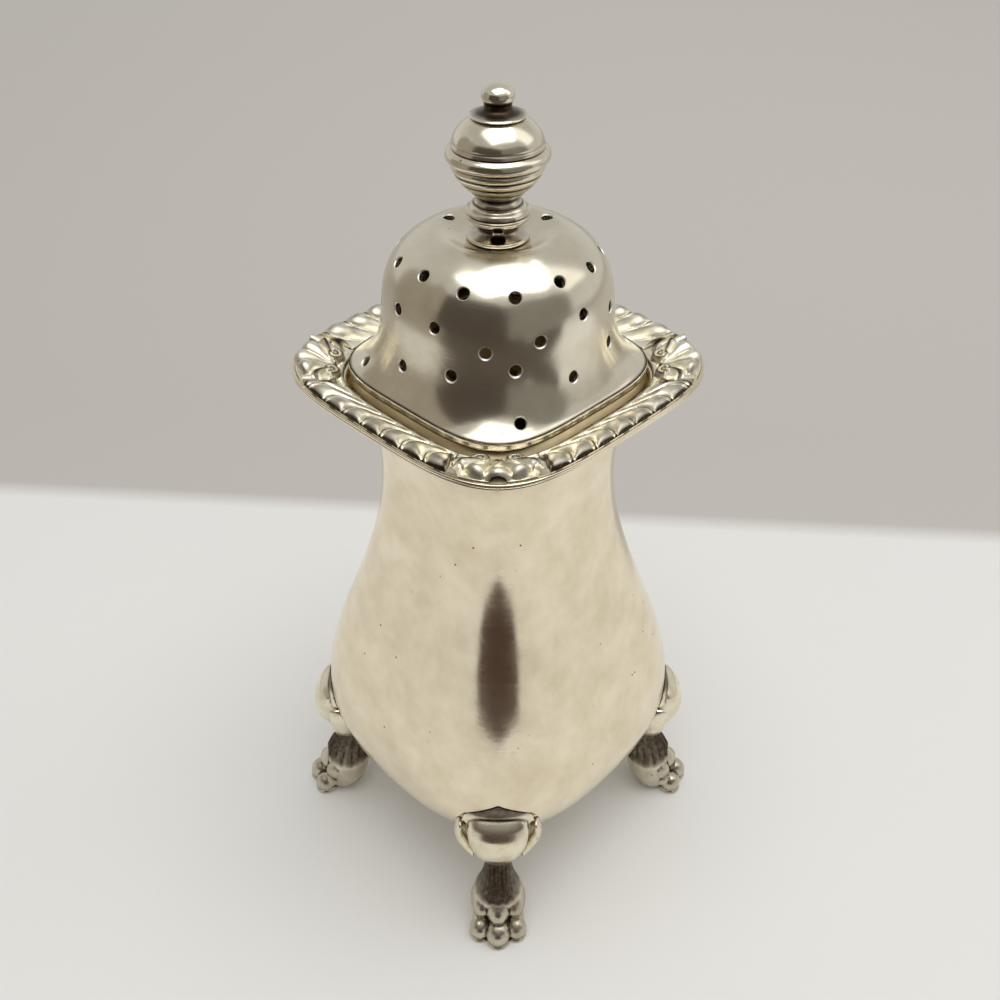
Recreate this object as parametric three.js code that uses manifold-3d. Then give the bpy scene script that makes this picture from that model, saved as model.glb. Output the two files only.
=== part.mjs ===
// Square baluster salt shaker: a vase on four paw feet, a gadroon and shell rim, and a lift-off pierced lid.
// Sizes are in millimetres with +Z up, and the origin lies on the table under the middle of the vase.
// The flat sides face X and Y. The rounded corners, the corner shells and the feet lie on the diagonals.
import * as THREE from "three";
import { mergeVertices } from "three/addons/utils/BufferGeometryUtils.js";
import Module from "manifold-3d";

const wasm = await Module();
wasm.setup();

const TURN = 2 * Math.PI;
const CORNER_ANGLE = TURN / 8;
const SOLDER_GAP = 0.3; // between pieces that are soldered together
const MITRE_GAP = 0.1; // between the lengths of the rim border
const SHORTEST_EDGE = 0.02; // what a cut leaves that is shorter is closed up

// Vase: heights of its three stretches, then its half-diagonals (axis to corner) and squareness.
const BASE_Z = 8.1;
const BOWL_HEIGHT = 20.8;
const SHOULDER_HEIGHT = 46.9;
const FLARE_HEIGHT = 15.3;
const FLANGE_THICKNESS = 0.8;
const WALL = 0.9;
const BASE_CORNER = 9;
const BELLY_CORNER = 29.2;
const NECK_CORNER = 17.25;
const RIM_CORNER = 28.6;
const MOUTH_CORNER = 22.6;
const BASE_SQUARENESS = 2.2;
const BELLY_SQUARENESS = 3;
const RIM_SQUARENESS = 3.9;
const MOUTH_SQUARENESS = 3.2;
const SHOULDER_LEAN = 0.92;
const FLARE_SHARPNESS = 1 / 3;
const VASE_SIDES = 48;

// Base plate let into the opening under the bowl.
const BASE_PLATE_THICKNESS = 0.9;

// Rim border: four lengths of gadroon and four corner shells on the flange.
const FLANGE_MARGIN = 0.5;
const BORDER_EDGE = 0.45;
const GADROONS_PER_SIDE = 7;
const GADROON_HEIGHT = 1.6;
const GADROON_SWEEP = 0.9; // how many gadroons a groove moves along as it crosses the band
const SHELL_SPREAD = 0.236; // half of the angle that a corner shell takes, in radians
const SHELL_HEIGHT = 2.1;
const SHELL_RIBS = 7;
const SHELL_RADIUS = 4.5;
const SHELL_FAN = 1.35; // half of the fan's opening angle, in radians
const VOLUTE_RADIUS = 1.2;
const VOLUTE_SPACING = 4.4;

// Paw feet.
const KNEE_RISE = 1.7; // how far the knee reaches above the belly
const KNEE_WIDTH = 9.9;
const ANKLE_WIDTH = 5.2;
const PAW_WIDTH = 10;
const PAW_REACH = 6.5; // from the belly's corner out to the middle toe's tip
const TOE_WIDTH = 3.6;
const LEAF_WIDTH = 3;
const LEAF_LENGTH = 10;

// Lid.
const LID_WALL = 0.8;
const LID_CLEARANCE = 0.5; // between the end of the lid's skirt and the neck, measured at a corner
const MOUTH_GAP = 2; // between the lid's bead and the mouth, measured at a corner
const BEAD_HEIGHT = 1.4;
const BEAD_SINK = 0.5; // how far the bead's underside lies below the flange's top
const BEAD_STEP = 0.3;
const BEAD_SQUARENESS = 4.2;
const SKIRT_DEPTH = 3.1; // below the bead
const SKIRT_WALL = 0.6;
const DOME_HEIGHT = 19.1;
const DOME_SHOULDER = 15.15;
const DOME_SHOULDER_HEIGHT = 8.6;
const CROWN_DIP = 0.7; // how far the crown is pressed in under the finial
const CROWN_DIP_RADIUS = 8.5;
const DOME_FLARE_LENGTH = 2.9;
const DOME_FULLNESS = 2.8;
const DOME_SQUARE_HEIGHT = 14; // above this the dome is round
const LID_SIDES = 40;

// Sprinkling holes in rings, from the crown down. Each ring has its height above the bead, its count,
// its turn in degrees from the front corner, and how much higher it runs at the corners.
const HOLE_DIAMETER = 1.55;
const HOLE_SIDES = 8;
const HOLE_RINGS = [
  { height: 16.4, count: 13, turn: 9, lift: -0.4 },
  { height: 11, count: 14, turn: 20, lift: -1.4 },
  { height: 6, count: 12, turn: 8, lift: 1.6 },
  { height: 1.3, count: 4, turn: 9, lift: 0 },
];
const CROWN_RING_RADIUS = 7.4;
const CROWN_RING_COUNT = 3;
const FOOT_HOLE_RADIUS = 3.1; // where the front hole of the crown ring runs through the finial's foot

// Finial, turned in one piece: radii, then the heights of its mouldings from the crown up.
const SPIGOT_RADIUS = 1.5;
const SPIGOT_LENGTH = 1.9;
const FINIAL_FOOT_RADIUS = 4.1;
const STEM_WAIST = 2.5;
const STEM_KNOP = 4.2;
const GLOBE_RADIUS = 6;
const RIDGE_RADIUS = 6.45;
const CAP_RADIUS = 3.6;
const CAP_NECK = 1.45;
const BALL_RADIUS = 2;
const FOOT_EDGE = 0.45;
const FOOT_RISE = 1;
const KNOP_HEIGHT = 2.9;
const GLOBE_BELOW = 5.2;
const RIDGE_THICKNESS = 1.3;
const GLOBE_ABOVE = 3.3;
const CAP_HEIGHT = 1.3;
const GROOVE_DEPTH = 0.22;
const FINIAL_SIDES = 20;

// Levels that follow from the heights above.
const BELLY_Z = BASE_Z + BOWL_HEIGHT;
const NECK_Z = BELLY_Z + SHOULDER_HEIGHT;
const FLANGE_Z = NECK_Z + FLARE_HEIGHT;
const RIM_Z = FLANGE_Z + FLANGE_THICKNESS;
const BEAD_Z = RIM_Z - BEAD_SINK;
const DOME_Z = BEAD_Z + BEAD_HEIGHT;
const CROWN_Z = DOME_Z + DOME_HEIGHT - CROWN_DIP;
const SKIRT_Z = BEAD_Z - SKIRT_DEPTH;
const KNEE_Z = BELLY_Z + KNEE_RISE;
const BEAD_CORNER = MOUTH_CORNER - MOUTH_GAP;

// Returns a closed geometry as a solid, with places nearer than a tolerance merged and collapsed triangles
// left out.
function solidOf(geometry, tolerance = 1e-4) {
  const bare = new THREE.BufferGeometry();
  const source = geometry.index ? geometry.toNonIndexed() : geometry;
  bare.setAttribute("position", source.getAttribute("position"));
  const merged = mergeVertices(bare, tolerance);
  const corners = merged.index.array;
  const triVerts = [];
  for (let i = 0; i < corners.length; i += 3) {
    const [a, b, c] = [corners[i], corners[i + 1], corners[i + 2]];
    if (a !== b && b !== c && c !== a) triVerts.push(a, b, c);
  }
  const vertProperties = merged.attributes.position.array;
  return new wasm.Manifold(
    new wasm.Mesh({ numProp: 3, vertProperties, triVerts: new Uint32Array(triVerts) })
  );
}

// Returns a solid as a geometry.
function geometryOf(solid) {
  const { numProp, vertProperties, triVerts } = solid.getMesh();
  const places = [];
  for (let i = 0; i < vertProperties.length; i += numProp) {
    places.push(vertProperties[i], vertProperties[i + 1], vertProperties[i + 2]);
  }
  const geometry = new THREE.BufferGeometry();
  geometry.setAttribute("position", new THREE.Float32BufferAttribute(places, 3));
  geometry.setIndex(new THREE.BufferAttribute(triVerts, 1));
  geometry.computeVertexNormals();
  return geometry;
}

// Joins solids into one.
function joined(solids) {
  return solids.reduce((whole, next) => whole.add(next));
}

// Skins rows of points, counterclockwise and from the bottom up, into one surface.
function skin(rows, sides, place) {
  const corners = [];
  for (let side = 0; side < sides; side++) {
    const here = (side * TURN) / sides;
    const next = (((side + 1) % sides) * TURN) / sides;
    for (let i = 0; i + 1 < rows.length; i++) {
      const low = [place(rows[i], here), place(rows[i], next)];
      const high = [place(rows[i + 1], here), place(rows[i + 1], next)];
      corners.push(low[0], low[1], high[1], low[0], high[1], high[0]);
    }
  }
  return solidOf(new THREE.BufferGeometry().setFromPoints(corners));
}

// Distance from the axis to the edge of a cushion-shaped section, at an angle from the X axis.
function reach(corner, squareness, angle) {
  const halfWidth = corner * 2 ** (1 / squareness - 0.5);
  const across = Math.abs(Math.cos(angle)) ** squareness;
  const along = Math.abs(Math.sin(angle)) ** squareness;
  return halfWidth / (across + along) ** (1 / squareness);
}

// A solid of cushion-shaped sections: each row holds its height, corner distance and squareness.
function cushion(rows, sides) {
  return skin(rows, sides, ({ z, corner, squareness }, angle) => {
    const radius = reach(corner, squareness, angle);
    return new THREE.Vector3(radius * Math.cos(angle), radius * Math.sin(angle), z);
  });
}

// Even steps from 0 to 1.
function steps(count) {
  return Array.from({ length: count + 1 }, (_, i) => i / count);
}

function mix(from, to, share) {
  return from + (to - from) * share;
}

// Quarter-ellipse bowl from its opening up to the belly, inset by a wall.
function bowlRows(inset, openingCorner, count) {
  const belly = BELLY_CORNER - inset;
  const depth = BOWL_HEIGHT - inset;
  const start = Math.asin(openingCorner / belly);
  return steps(count).map((share) => {
    const angle = mix(start, TURN / 4, share);
    const rise = 1 - Math.cos(angle);
    return {
      z: BELLY_Z - depth + depth * rise,
      corner: belly * Math.sin(angle),
      squareness: mix(BASE_SQUARENESS, BELLY_SQUARENESS, rise),
    };
  });
}

// Ogee shoulder between the belly and the neck.
function shoulderRows(inset, count) {
  return steps(count).map((share) => ({
    z: mix(BELLY_Z, NECK_Z, share),
    corner: mix(NECK_CORNER, BELLY_CORNER, (1 + Math.cos(Math.PI * share ** SHOULDER_LEAN)) / 2) - inset,
    squareness: BELLY_SQUARENESS,
  }));
}

// The flare, which turns out into the flange, at a share of its height and inset by a wall.
function flareAt(share, inset) {
  const spread = 1 - (1 - share ** 2) ** FLARE_SHARPNESS;
  return {
    z: mix(NECK_Z, FLANGE_Z, share),
    corner: mix(NECK_CORNER, RIM_CORNER, spread) - inset,
    squareness: mix(BELLY_SQUARENESS, RIM_SQUARENESS, spread),
  };
}

// Rows of the flare up to a share of its height, closer together where it turns out.
function flareRows(inset, last, count) {
  return steps(count).map((step) => flareAt(last * Math.sin((step * TURN) / 4), inset));
}

// Share of the flare's height where its inside is as wide as the mouth.
function mouthShare() {
  const spread = (MOUTH_CORNER + WALL - NECK_CORNER) / (RIM_CORNER - NECK_CORNER);
  return Math.sqrt(1 - (1 - spread) ** (1 / FLARE_SHARPNESS));
}

// The outer skin of the vase, from the base opening to the underside of the flange.
function vaseOutside() {
  return [
    ...bowlRows(0, BASE_CORNER, 6),
    ...shoulderRows(0, 8).slice(1),
    ...flareRows(0, 1, 5).slice(1),
  ];
}

function bodyShell() {
  const outside = vaseOutside();
  const flangeEdge = { z: RIM_Z, corner: RIM_CORNER, squareness: RIM_SQUARENESS };
  const mouthEdge = { z: RIM_Z, corner: MOUTH_CORNER, squareness: MOUTH_SQUARENESS };
  const inside = [
    ...bowlRows(WALL, BASE_CORNER, 4),
    ...shoulderRows(WALL, 4).slice(1),
    ...flareRows(WALL, mouthShare(), 3).slice(1),
    mouthEdge,
  ].reverse();
  return cushion([...outside, flangeEdge, ...inside, outside[0]], VASE_SIDES);
}

function basePlate() {
  const corner = BASE_CORNER - SOLDER_GAP;
  const z = bowlRows(0, BASE_CORNER, 1)[0].z;
  return cushion(
    [
      { z, corner: 0, squareness: BASE_SQUARENESS },
      { z, corner, squareness: BASE_SQUARENESS },
      { z: z + BASE_PLATE_THICKNESS, corner, squareness: BASE_SQUARENESS },
      { z: z + BASE_PLATE_THICKNESS, corner: 0, squareness: BASE_SQUARENESS },
    ],
    VASE_SIDES
  );
}

// A block on the flange with a flat underside. Columns run counterclockwise between two angles and rows run
// from the mouth outwards. The height of the top is a function of the shares along and across.
function borderBlock(from, to, columns, rows, height) {
  const inner = MOUTH_CORNER + SOLDER_GAP;
  const outer = RIM_CORNER - FLANGE_MARGIN;
  const place = (i, j, top) => {
    const [along, across] = [i / columns, j / rows];
    const angle = mix(from, to, along);
    const radius = mix(
      reach(inner, MOUTH_SQUARENESS, angle),
      reach(outer, RIM_SQUARENESS, angle),
      across
    );
    const [x, y] = [radius * Math.cos(angle), radius * Math.sin(angle)];
    return new THREE.Vector3(x, y, top ? RIM_Z + height(along, across, x, y) : RIM_Z);
  };
  const corners = [];
  const quad = (a, b, c, d) => corners.push(a, b, c, a, c, d);
  for (let i = 0; i < columns; i++) {
    for (let j = 0; j < rows; j++) {
      quad(place(i, j, true), place(i, j + 1, true), place(i + 1, j + 1, true), place(i + 1, j, true));
    }
    quad(place(i, 0), place(i + 1, 0), place(i + 1, rows), place(i, rows));
    quad(place(i, 0), place(i, 0, true), place(i + 1, 0, true), place(i + 1, 0));
    quad(place(i, rows), place(i + 1, rows), place(i + 1, rows, true), place(i, rows, true));
  }
  for (const [i, turned] of [[0, false], [columns, true]]) {
    const outline = [place(i, 0), place(i, rows)];
    for (let j = rows; j >= 0; j--) outline.push(place(i, j, true));
    if (turned) outline.reverse();
    for (let k = 1; k + 1 < outline.length; k++) corners.push(outline[0], outline[k], outline[k + 1]);
  }
  return solidOf(new THREE.BufferGeometry().setFromPoints(corners));
}

// Rounded cross-section of the band, 0 at neither edge and 1 in the middle.
function bandCrown(across) {
  return Math.sqrt(1 - 0.9 * (2 * across - 1) ** 2);
}

// One side's gadroons: crescent lobes whose grooves sweep along as they cross the band. The flow is +1 where
// they lean counterclockwise and -1 where they lean clockwise.
function gadroonLength(flow) {
  const half = CORNER_ANGLE - SHELL_SPREAD - MITRE_GAP / RIM_CORNER;
  const height = (along, across) => {
    const ahead = flow > 0 ? along : 1 - along;
    const sweep = GADROON_SWEEP * Math.sin(Math.min(across / 0.75, 1.2) * TURN / 4);
    const lobe = Math.abs(Math.sin(Math.PI * (GADROONS_PER_SIDE * ahead - sweep))) ** 0.75;
    return BORDER_EDGE + (GADROON_HEIGHT - BORDER_EDGE) * bandCrown(across) * mix(0.25, 1, lobe);
  };
  return borderBlock(-half, half, 4 * GADROONS_PER_SIDE, 4, height);
}

// A corner shell, made on the X axis side and turned to its corner: a ribbed fan that opens outwards from
// between two volutes.
function cornerShell() {
  const focus = RIM_CORNER - FLANGE_MARGIN - SHELL_RADIUS;
  const height = (along, across, x, y) => {
    const out = (x + y) / Math.SQRT2 - focus;
    const side = (y - x) / Math.SQRT2;
    const angle = Math.atan2(side, out);
    const share = Math.hypot(out, side) / SHELL_RADIUS;
    const rib = Math.abs(Math.cos((angle * Math.PI * SHELL_RIBS) / (4 * SHELL_FAN)));
    const inFan = THREE.MathUtils.smoothstep(SHELL_FAN - Math.abs(angle), 0, 0.35);
    const fan = inFan * Math.sin(Math.min(share, 1.25) * 2.1) * mix(0.7, 1, rib);
    const fromVolute = Math.hypot(out - VOLUTE_RADIUS / 3, Math.abs(side) - VOLUTE_SPACING / 2);
    const volute = Math.sqrt(Math.max(0, 1 - (fromVolute / VOLUTE_RADIUS) ** 2));
    const fromScroll = Math.hypot(out - VOLUTE_RADIUS, Math.abs(side) - VOLUTE_SPACING * 1.2);
    const scroll = Math.sqrt(Math.max(0, 1 - (fromScroll / (1.3 * VOLUTE_RADIUS)) ** 2));
    const relief = Math.max(fan, 0.75 * volute, 0.7 * scroll, 0.2 * bandCrown(across));
    return BORDER_EDGE + (SHELL_HEIGHT - BORDER_EDGE) * relief;
  };
  return borderBlock(CORNER_ANGLE - SHELL_SPREAD, CORNER_ANGLE + SHELL_SPREAD, 18, 5, height);
}

// Sections of a leg from the sole to the knee: height as a share of the knee's, distance out from the
// belly's corner, half width as a share of a named width, and half depth.
function legRows() {
  const row = (level, out, halfWidth, halfDepth) => ({ z: level * KNEE_Z, out, halfWidth, halfDepth });
  return [
    row(0, -0.5, 0, 0),
    row(0, -0.5, 0.43 * PAW_WIDTH, 4.7),
    row(0.06, -0.4, 0.48 * PAW_WIDTH, 5.1),
    row(0.13, -0.7, 0.46 * PAW_WIDTH, 4.6),
    row(0.21, -1.3, 0.42 * PAW_WIDTH, 3.9),
    row(0.3, -1.9, 0.34 * PAW_WIDTH, 3.1),
    row(0.4, -2.4, 0.54 * ANKLE_WIDTH, 2.6),
    row(0.48, -2.5, 0.5 * ANKLE_WIDTH, 2.4),
    row(0.54, -2.1, 0.31 * KNEE_WIDTH, 2.6),
    row(0.61, -1.2, 0.4 * KNEE_WIDTH, 3.1),
    row(0.69, -0.4, 0.475 * KNEE_WIDTH, 3.6),
    row(0.79, 0, 0.5 * KNEE_WIDTH, 3.6),
    row(0.89, -0.4, 0.43 * KNEE_WIDTH, 3),
    row(0.96, -0.6, 0.27 * KNEE_WIDTH, 1.9),
    row(1, -0.4, 0, 0),
  ];
}

// A rounded lump: centre out from the belly's corner, across and up, then its half sizes.
function lump([out, across, z], [halfDepth, halfWidth, halfHeight]) {
  const ball = new THREE.SphereGeometry(1, 7, 5);
  ball.rotateX(TURN / 4);
  ball.scale(halfDepth, halfWidth, halfHeight);
  ball.translate(BELLY_CORNER + out, across, z);
  return solidOf(ball);
}

// A paw foot with its corner along +X: leg, knee with two side leaves, knuckles and toes, fitted to the vase.
function pawFoot() {
  const leg = skin(legRows(), 10, ({ z, out, halfWidth, halfDepth }, angle) => {
    const x = BELLY_CORNER + out + halfDepth * Math.cos(angle);
    return new THREE.Vector3(x, halfWidth * Math.sin(angle), z);
  });
  const toe = TOE_WIDTH / 2;
  const apart = PAW_WIDTH / 2 - toe;
  const pieces = [leg];
  for (const side of [-1, 0, 1]) {
    const back = Math.abs(side);
    pieces.push(lump([PAW_REACH - 2.2 - 0.9 * back, side * apart, 1.7], [2.2, toe, 1.9]));
    pieces.push(lump([PAW_REACH - 3.7 - 0.7 * back, 0.92 * side * apart, 4.5], [1.9, 0.97 * toe, 1.7]));
  }
  for (const side of [-1, 1]) {
    const across = side * (KNEE_WIDTH / 2 + LEAF_WIDTH / 4);
    const middle = KNEE_Z - 0.7 * LEAF_LENGTH;
    pieces.push(lump([-1.3, across, middle], [2.2, LEAF_WIDTH / 2, LEAF_LENGTH / 2]));
  }
  const seat = vaseOutside().map((row) => ({ ...row, corner: row.corner + SOLDER_GAP }));
  const [first, last] = [seat[0], seat.at(-1)];
  const vase = cushion([{ ...first, corner: 0 }, ...seat, { ...last, corner: 0 }], VASE_SIDES);
  const table = new THREE.BoxGeometry(4 * RIM_CORNER, 4 * RIM_CORNER, BASE_Z);
  table.translate(0, 0, -BASE_Z / 2);
  return joined(pieces)
    .subtract(solidOf(geometryOf(vase).rotateZ(CORNER_ANGLE)))
    .subtract(solidOf(table));
}

// Corner distance and squareness of the dome at a height above the bead, thinned by a wall.
function domeAt(height, inset) {
  const flare = (BEAD_CORNER - BEAD_STEP - DOME_SHOULDER) * Math.exp(-height / DOME_FLARE_LENGTH);
  const span = DOME_HEIGHT - inset - DOME_SHOULDER_HEIGHT;
  const share = THREE.MathUtils.clamp((height - DOME_SHOULDER_HEIGHT) / span, 0, 1);
  const crown = (1 - share ** DOME_FULLNESS) ** (1 / DOME_FULLNESS);
  const squared = Math.max(0, 1 - height / DOME_SQUARE_HEIGHT);
  const corner = (DOME_SHOULDER + flare - inset) * crown;
  const dip = 1 - THREE.MathUtils.smoothstep(corner, FINIAL_FOOT_RADIUS, CROWN_DIP_RADIUS);
  return {
    z: DOME_Z + height - CROWN_DIP * dip,
    corner,
    squareness: 2 + (BEAD_SQUARENESS - 2) * squared ** 1.5,
  };
}

// Heights of the dome's rows, closer together at the flare and round the crown.
function domeRows(inset, below, above) {
  const span = DOME_HEIGHT - inset - DOME_SHOULDER_HEIGHT;
  const flare = steps(below).map((share) => DOME_SHOULDER_HEIGHT * share ** 1.6);
  const crown = steps(above).slice(1);
  const heights = [...flare, ...crown.map((s) => DOME_SHOULDER_HEIGHT + span * Math.sin((s * TURN) / 4))];
  return heights.map((height) => domeAt(height, inset));
}

// A straight drill centred on a place and pointing along a direction.
function drill(place, direction, length) {
  const bit = new THREE.CylinderGeometry(HOLE_DIAMETER / 2, HOLE_DIAMETER / 2, length, HOLE_SIDES);
  const along = new THREE.Vector3(0, 1, 0);
  bit.applyQuaternion(new THREE.Quaternion().setFromUnitVectors(along, direction.normalize()));
  bit.translate(place.x, place.y, place.z);
  return solidOf(bit);
}

// Angle about the axis of a hole that is turned by some degrees from the front corner.
function holeAngle(degrees) {
  return THREE.MathUtils.degToRad(degrees) - CORNER_ANGLE;
}

// The drill that goes through both the finial's foot and the crown.
function footDrill() {
  const angle = holeAngle(0);
  const out = new THREE.Vector3(Math.cos(angle), Math.sin(angle), 0);
  const place = out.clone().multiplyScalar(FOOT_HOLE_RADIUS).setZ(CROWN_Z);
  return drill(place, out.multiplyScalar(0.3).setZ(1), 4 * LID_WALL);
}

function sprinklingHoles() {
  const drills = [footDrill()];
  for (let i = 1; i < CROWN_RING_COUNT; i++) {
    const angle = holeAngle((i * 360) / CROWN_RING_COUNT);
    const [x, y] = [CROWN_RING_RADIUS * Math.cos(angle), CROWN_RING_RADIUS * Math.sin(angle)];
    drills.push(drill(new THREE.Vector3(x, y, CROWN_Z), new THREE.Vector3(0, 0, 1), 4 * LID_WALL));
  }
  for (const { height, count, turn, lift } of HOLE_RINGS) {
    for (let i = 0; i < count; i++) {
      const degrees = turn + (i * 360) / count;
      const angle = holeAngle(degrees);
      const level = height + lift * Math.cos(THREE.MathUtils.degToRad(4 * degrees));
      const at = domeAt(level, LID_WALL / 2);
      const above = domeAt(level + 0.1, LID_WALL / 2);
      const [radius, next] = [at, above].map((row) => reach(row.corner, row.squareness, angle));
      const place = new THREE.Vector3(radius * Math.cos(angle), radius * Math.sin(angle), at.z);
      const slope = (radius - next) / 0.1;
      drills.push(drill(place, new THREE.Vector3(Math.cos(angle), Math.sin(angle), slope), 4 * LID_WALL));
    }
  }
  return joined(drills);
}

function lidDome() {
  const outside = domeRows(0, 4, 7);
  const inside = domeRows(LID_WALL, 3, 4).reverse();
  const shell = cushion([...outside, ...inside, outside[0]], LID_SIDES);
  const hole = new THREE.CylinderGeometry(
    SPIGOT_RADIUS + SOLDER_GAP, SPIGOT_RADIUS + SOLDER_GAP, 4 * LID_WALL, FINIAL_SIDES
  );
  hole.rotateX(TURN / 4).translate(0, 0, CROWN_Z);
  return shell.subtract(solidOf(hole)).subtract(sprinklingHoles());
}

// The inside of the flare where the lid's skirt ends, less the clearance, sets the skirt's size.
function skirtSection() {
  const { corner } = flareAt((SKIRT_Z - NECK_Z) / FLARE_HEIGHT, WALL);
  return { corner: corner - LID_CLEARANCE, squareness: BEAD_SQUARENESS };
}

// A band of cushion section between two heights.
function band(outer, wall, bottom, top) {
  const inner = { ...outer, corner: outer.corner - wall };
  const rows = [
    { ...outer, z: bottom },
    { ...outer, z: top },
    { ...inner, z: top },
    { ...inner, z: bottom },
    { ...outer, z: bottom },
  ];
  return cushion(rows, LID_SIDES);
}

function lidSkirt() {
  return band(skirtSection(), SKIRT_WALL, SKIRT_Z, DOME_Z);
}

// Half-round wire round the foot of the dome, outside the skirt.
function lidBead() {
  const squareness = BEAD_SQUARENESS;
  const bulge = steps(4).map((share) => {
    const angle = mix(-TURN / 4, TURN / 4, share);
    return {
      z: mix(BEAD_Z, DOME_Z, (1 + Math.sin(angle)) / 2),
      corner: BEAD_CORNER - BEAD_HEIGHT / 3 + (BEAD_HEIGHT / 3) * Math.cos(angle),
      squareness,
    };
  });
  const clear = { corner: skirtSection().corner + SOLDER_GAP, squareness };
  return cushion([...bulge, { ...clear, z: DOME_Z }, { ...clear, z: BEAD_Z }, bulge[0]], LID_SIDES);
}

// The finial's outline from the spigot's end up to the ball, as radius and height above the crown.
function finialOutline() {
  const knop = FOOT_EDGE + FOOT_RISE;
  const globe = knop + KNOP_HEIGHT;
  const ridge = globe + GLOBE_BELOW;
  const upper = ridge + RIDGE_THICKNESS;
  const cap = upper + GLOBE_ABOVE;
  const ball = cap + CAP_HEIGHT + Math.sqrt(BALL_RADIUS ** 2 - CAP_NECK ** 2);
  const points = [
    [0, -SPIGOT_LENGTH],
    [SPIGOT_RADIUS, -SPIGOT_LENGTH],
    [SPIGOT_RADIUS, 0],
    [FINIAL_FOOT_RADIUS, 0],
    [FINIAL_FOOT_RADIUS, FOOT_EDGE],
    [mix(STEM_WAIST, FINIAL_FOOT_RADIUS, 0.35), mix(FOOT_EDGE, knop, 0.5)],
    [STEM_WAIST, knop],
    [mix(STEM_WAIST, STEM_KNOP, 0.7), knop + 0.25 * KNOP_HEIGHT],
    [STEM_KNOP, knop + 0.4 * KNOP_HEIGHT],
    [STEM_KNOP - GROOVE_DEPTH, knop + 0.5 * KNOP_HEIGHT],
    [STEM_KNOP - GROOVE_DEPTH / 2, knop + 0.58 * KNOP_HEIGHT],
    [mix(STEM_WAIST, STEM_KNOP, 0.45), knop + 0.8 * KNOP_HEIGHT],
    [STEM_WAIST, globe],
  ];
  for (const share of steps(5).slice(1)) {
    const radius = mix(STEM_WAIST, GLOBE_RADIUS, Math.sin((share * TURN) / 4));
    const height = mix(globe, ridge, share);
    points.push([radius, height - 2 * GROOVE_DEPTH], [radius - GROOVE_DEPTH, height]);
  }
  points.push([RIDGE_RADIUS, mix(ridge, upper, 0.3)], [RIDGE_RADIUS, mix(ridge, upper, 0.65)]);
  points.push([GLOBE_RADIUS - GROOVE_DEPTH, upper]);
  for (const share of steps(4)) {
    const angle = share * 0.86 * (TURN / 4);
    points.push([
      mix(CAP_RADIUS, GLOBE_RADIUS, Math.cos(angle)),
      mix(upper, cap, Math.sin(angle)) + GROOVE_DEPTH,
    ]);
  }
  points.push(
    [CAP_RADIUS - 2 * GROOVE_DEPTH, cap + GROOVE_DEPTH],
    [CAP_RADIUS, cap + 0.35 * CAP_HEIGHT],
    [mix(CAP_NECK, CAP_RADIUS, 0.35), cap + 0.65 * CAP_HEIGHT],
    [CAP_NECK, cap + CAP_HEIGHT]
  );
  const start = Math.asin(-(ball - cap - CAP_HEIGHT) / BALL_RADIUS);
  for (const share of steps(6).slice(1)) {
    const angle = mix(start, TURN / 4, share);
    points.push([share < 1 ? BALL_RADIUS * Math.cos(angle) : 0, ball + BALL_RADIUS * Math.sin(angle)]);
  }
  return points;
}

function finial() {
  const outline = finialOutline().map(([radius, height]) => new THREE.Vector2(radius, height));
  const turned = new THREE.LatheGeometry(outline, FINIAL_SIDES);
  turned.rotateX(TURN / 4).translate(0, 0, CROWN_Z);
  return solidOf(turned).subtract(footDrill());
}

// Makes a named piece of the shaker.
function piece(name, solid, colour, roughness, turn = 0) {
  const material = new THREE.MeshStandardMaterial({ color: colour, roughness, metalness: 1 });
  const clean = solidOf(geometryOf(solid), SHORTEST_EDGE);
  const mesh = new THREE.Mesh(geometryOf(clean), material);
  mesh.name = name;
  mesh.rotation.z = turn;
  return mesh;
}

const SILVER = 0xd8d0c0;
const CAST_SILVER = 0xb9b1a2;
const GILT = 0xb9964f;

const vase = new THREE.Group();
vase.add(piece("body_shell", bodyShell(), SILVER, 0.25));
vase.add(piece("base_plate", basePlate(), SILVER, 0.35));

const sides = ["right", "back", "left", "front"];
const corners = ["back_right", "back_left", "front_left", "front_right"];
const foot = pawFoot();
const shell = cornerShell();
const lengths = [gadroonLength(1), gadroonLength(-1)];
for (let i = 0; i < 4; i++) {
  const turn = (i * TURN) / 4;
  vase.add(piece("gadroon_border_" + sides[i], lengths[i % 2], CAST_SILVER, 0.3, turn));
  vase.add(piece("corner_shell_" + corners[i], shell, CAST_SILVER, 0.3, turn));
  vase.add(piece("foot_" + corners[i], foot, CAST_SILVER, 0.3, turn + CORNER_ANGLE));
}

const lid = new THREE.Group();
lid.add(piece("lid_dome", lidDome(), SILVER, 0.22));
lid.add(piece("lid_bead", lidBead(), SILVER, 0.3));
lid.add(piece("lid_skirt", lidSkirt(), GILT, 0.35));
lid.add(piece("finial", finial(), SILVER, 0.3));

const shaker = new THREE.Group();
shaker.add(vase, lid);

export default shaker;
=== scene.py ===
"""A square baluster salt shaker in worn silver plate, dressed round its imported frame.

Lengths are in metres with +Z up. The vase's flat sides face X and Y, and its rounded corners, the corner
shells and the paw feet lie on the diagonals.
"""

import math

import bmesh
import bpy
import numpy as np
from mathutils import Matrix, Vector
from mathutils.bvhtree import BVHTree
from mathutils.interpolate import poly_3d_calc


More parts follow.
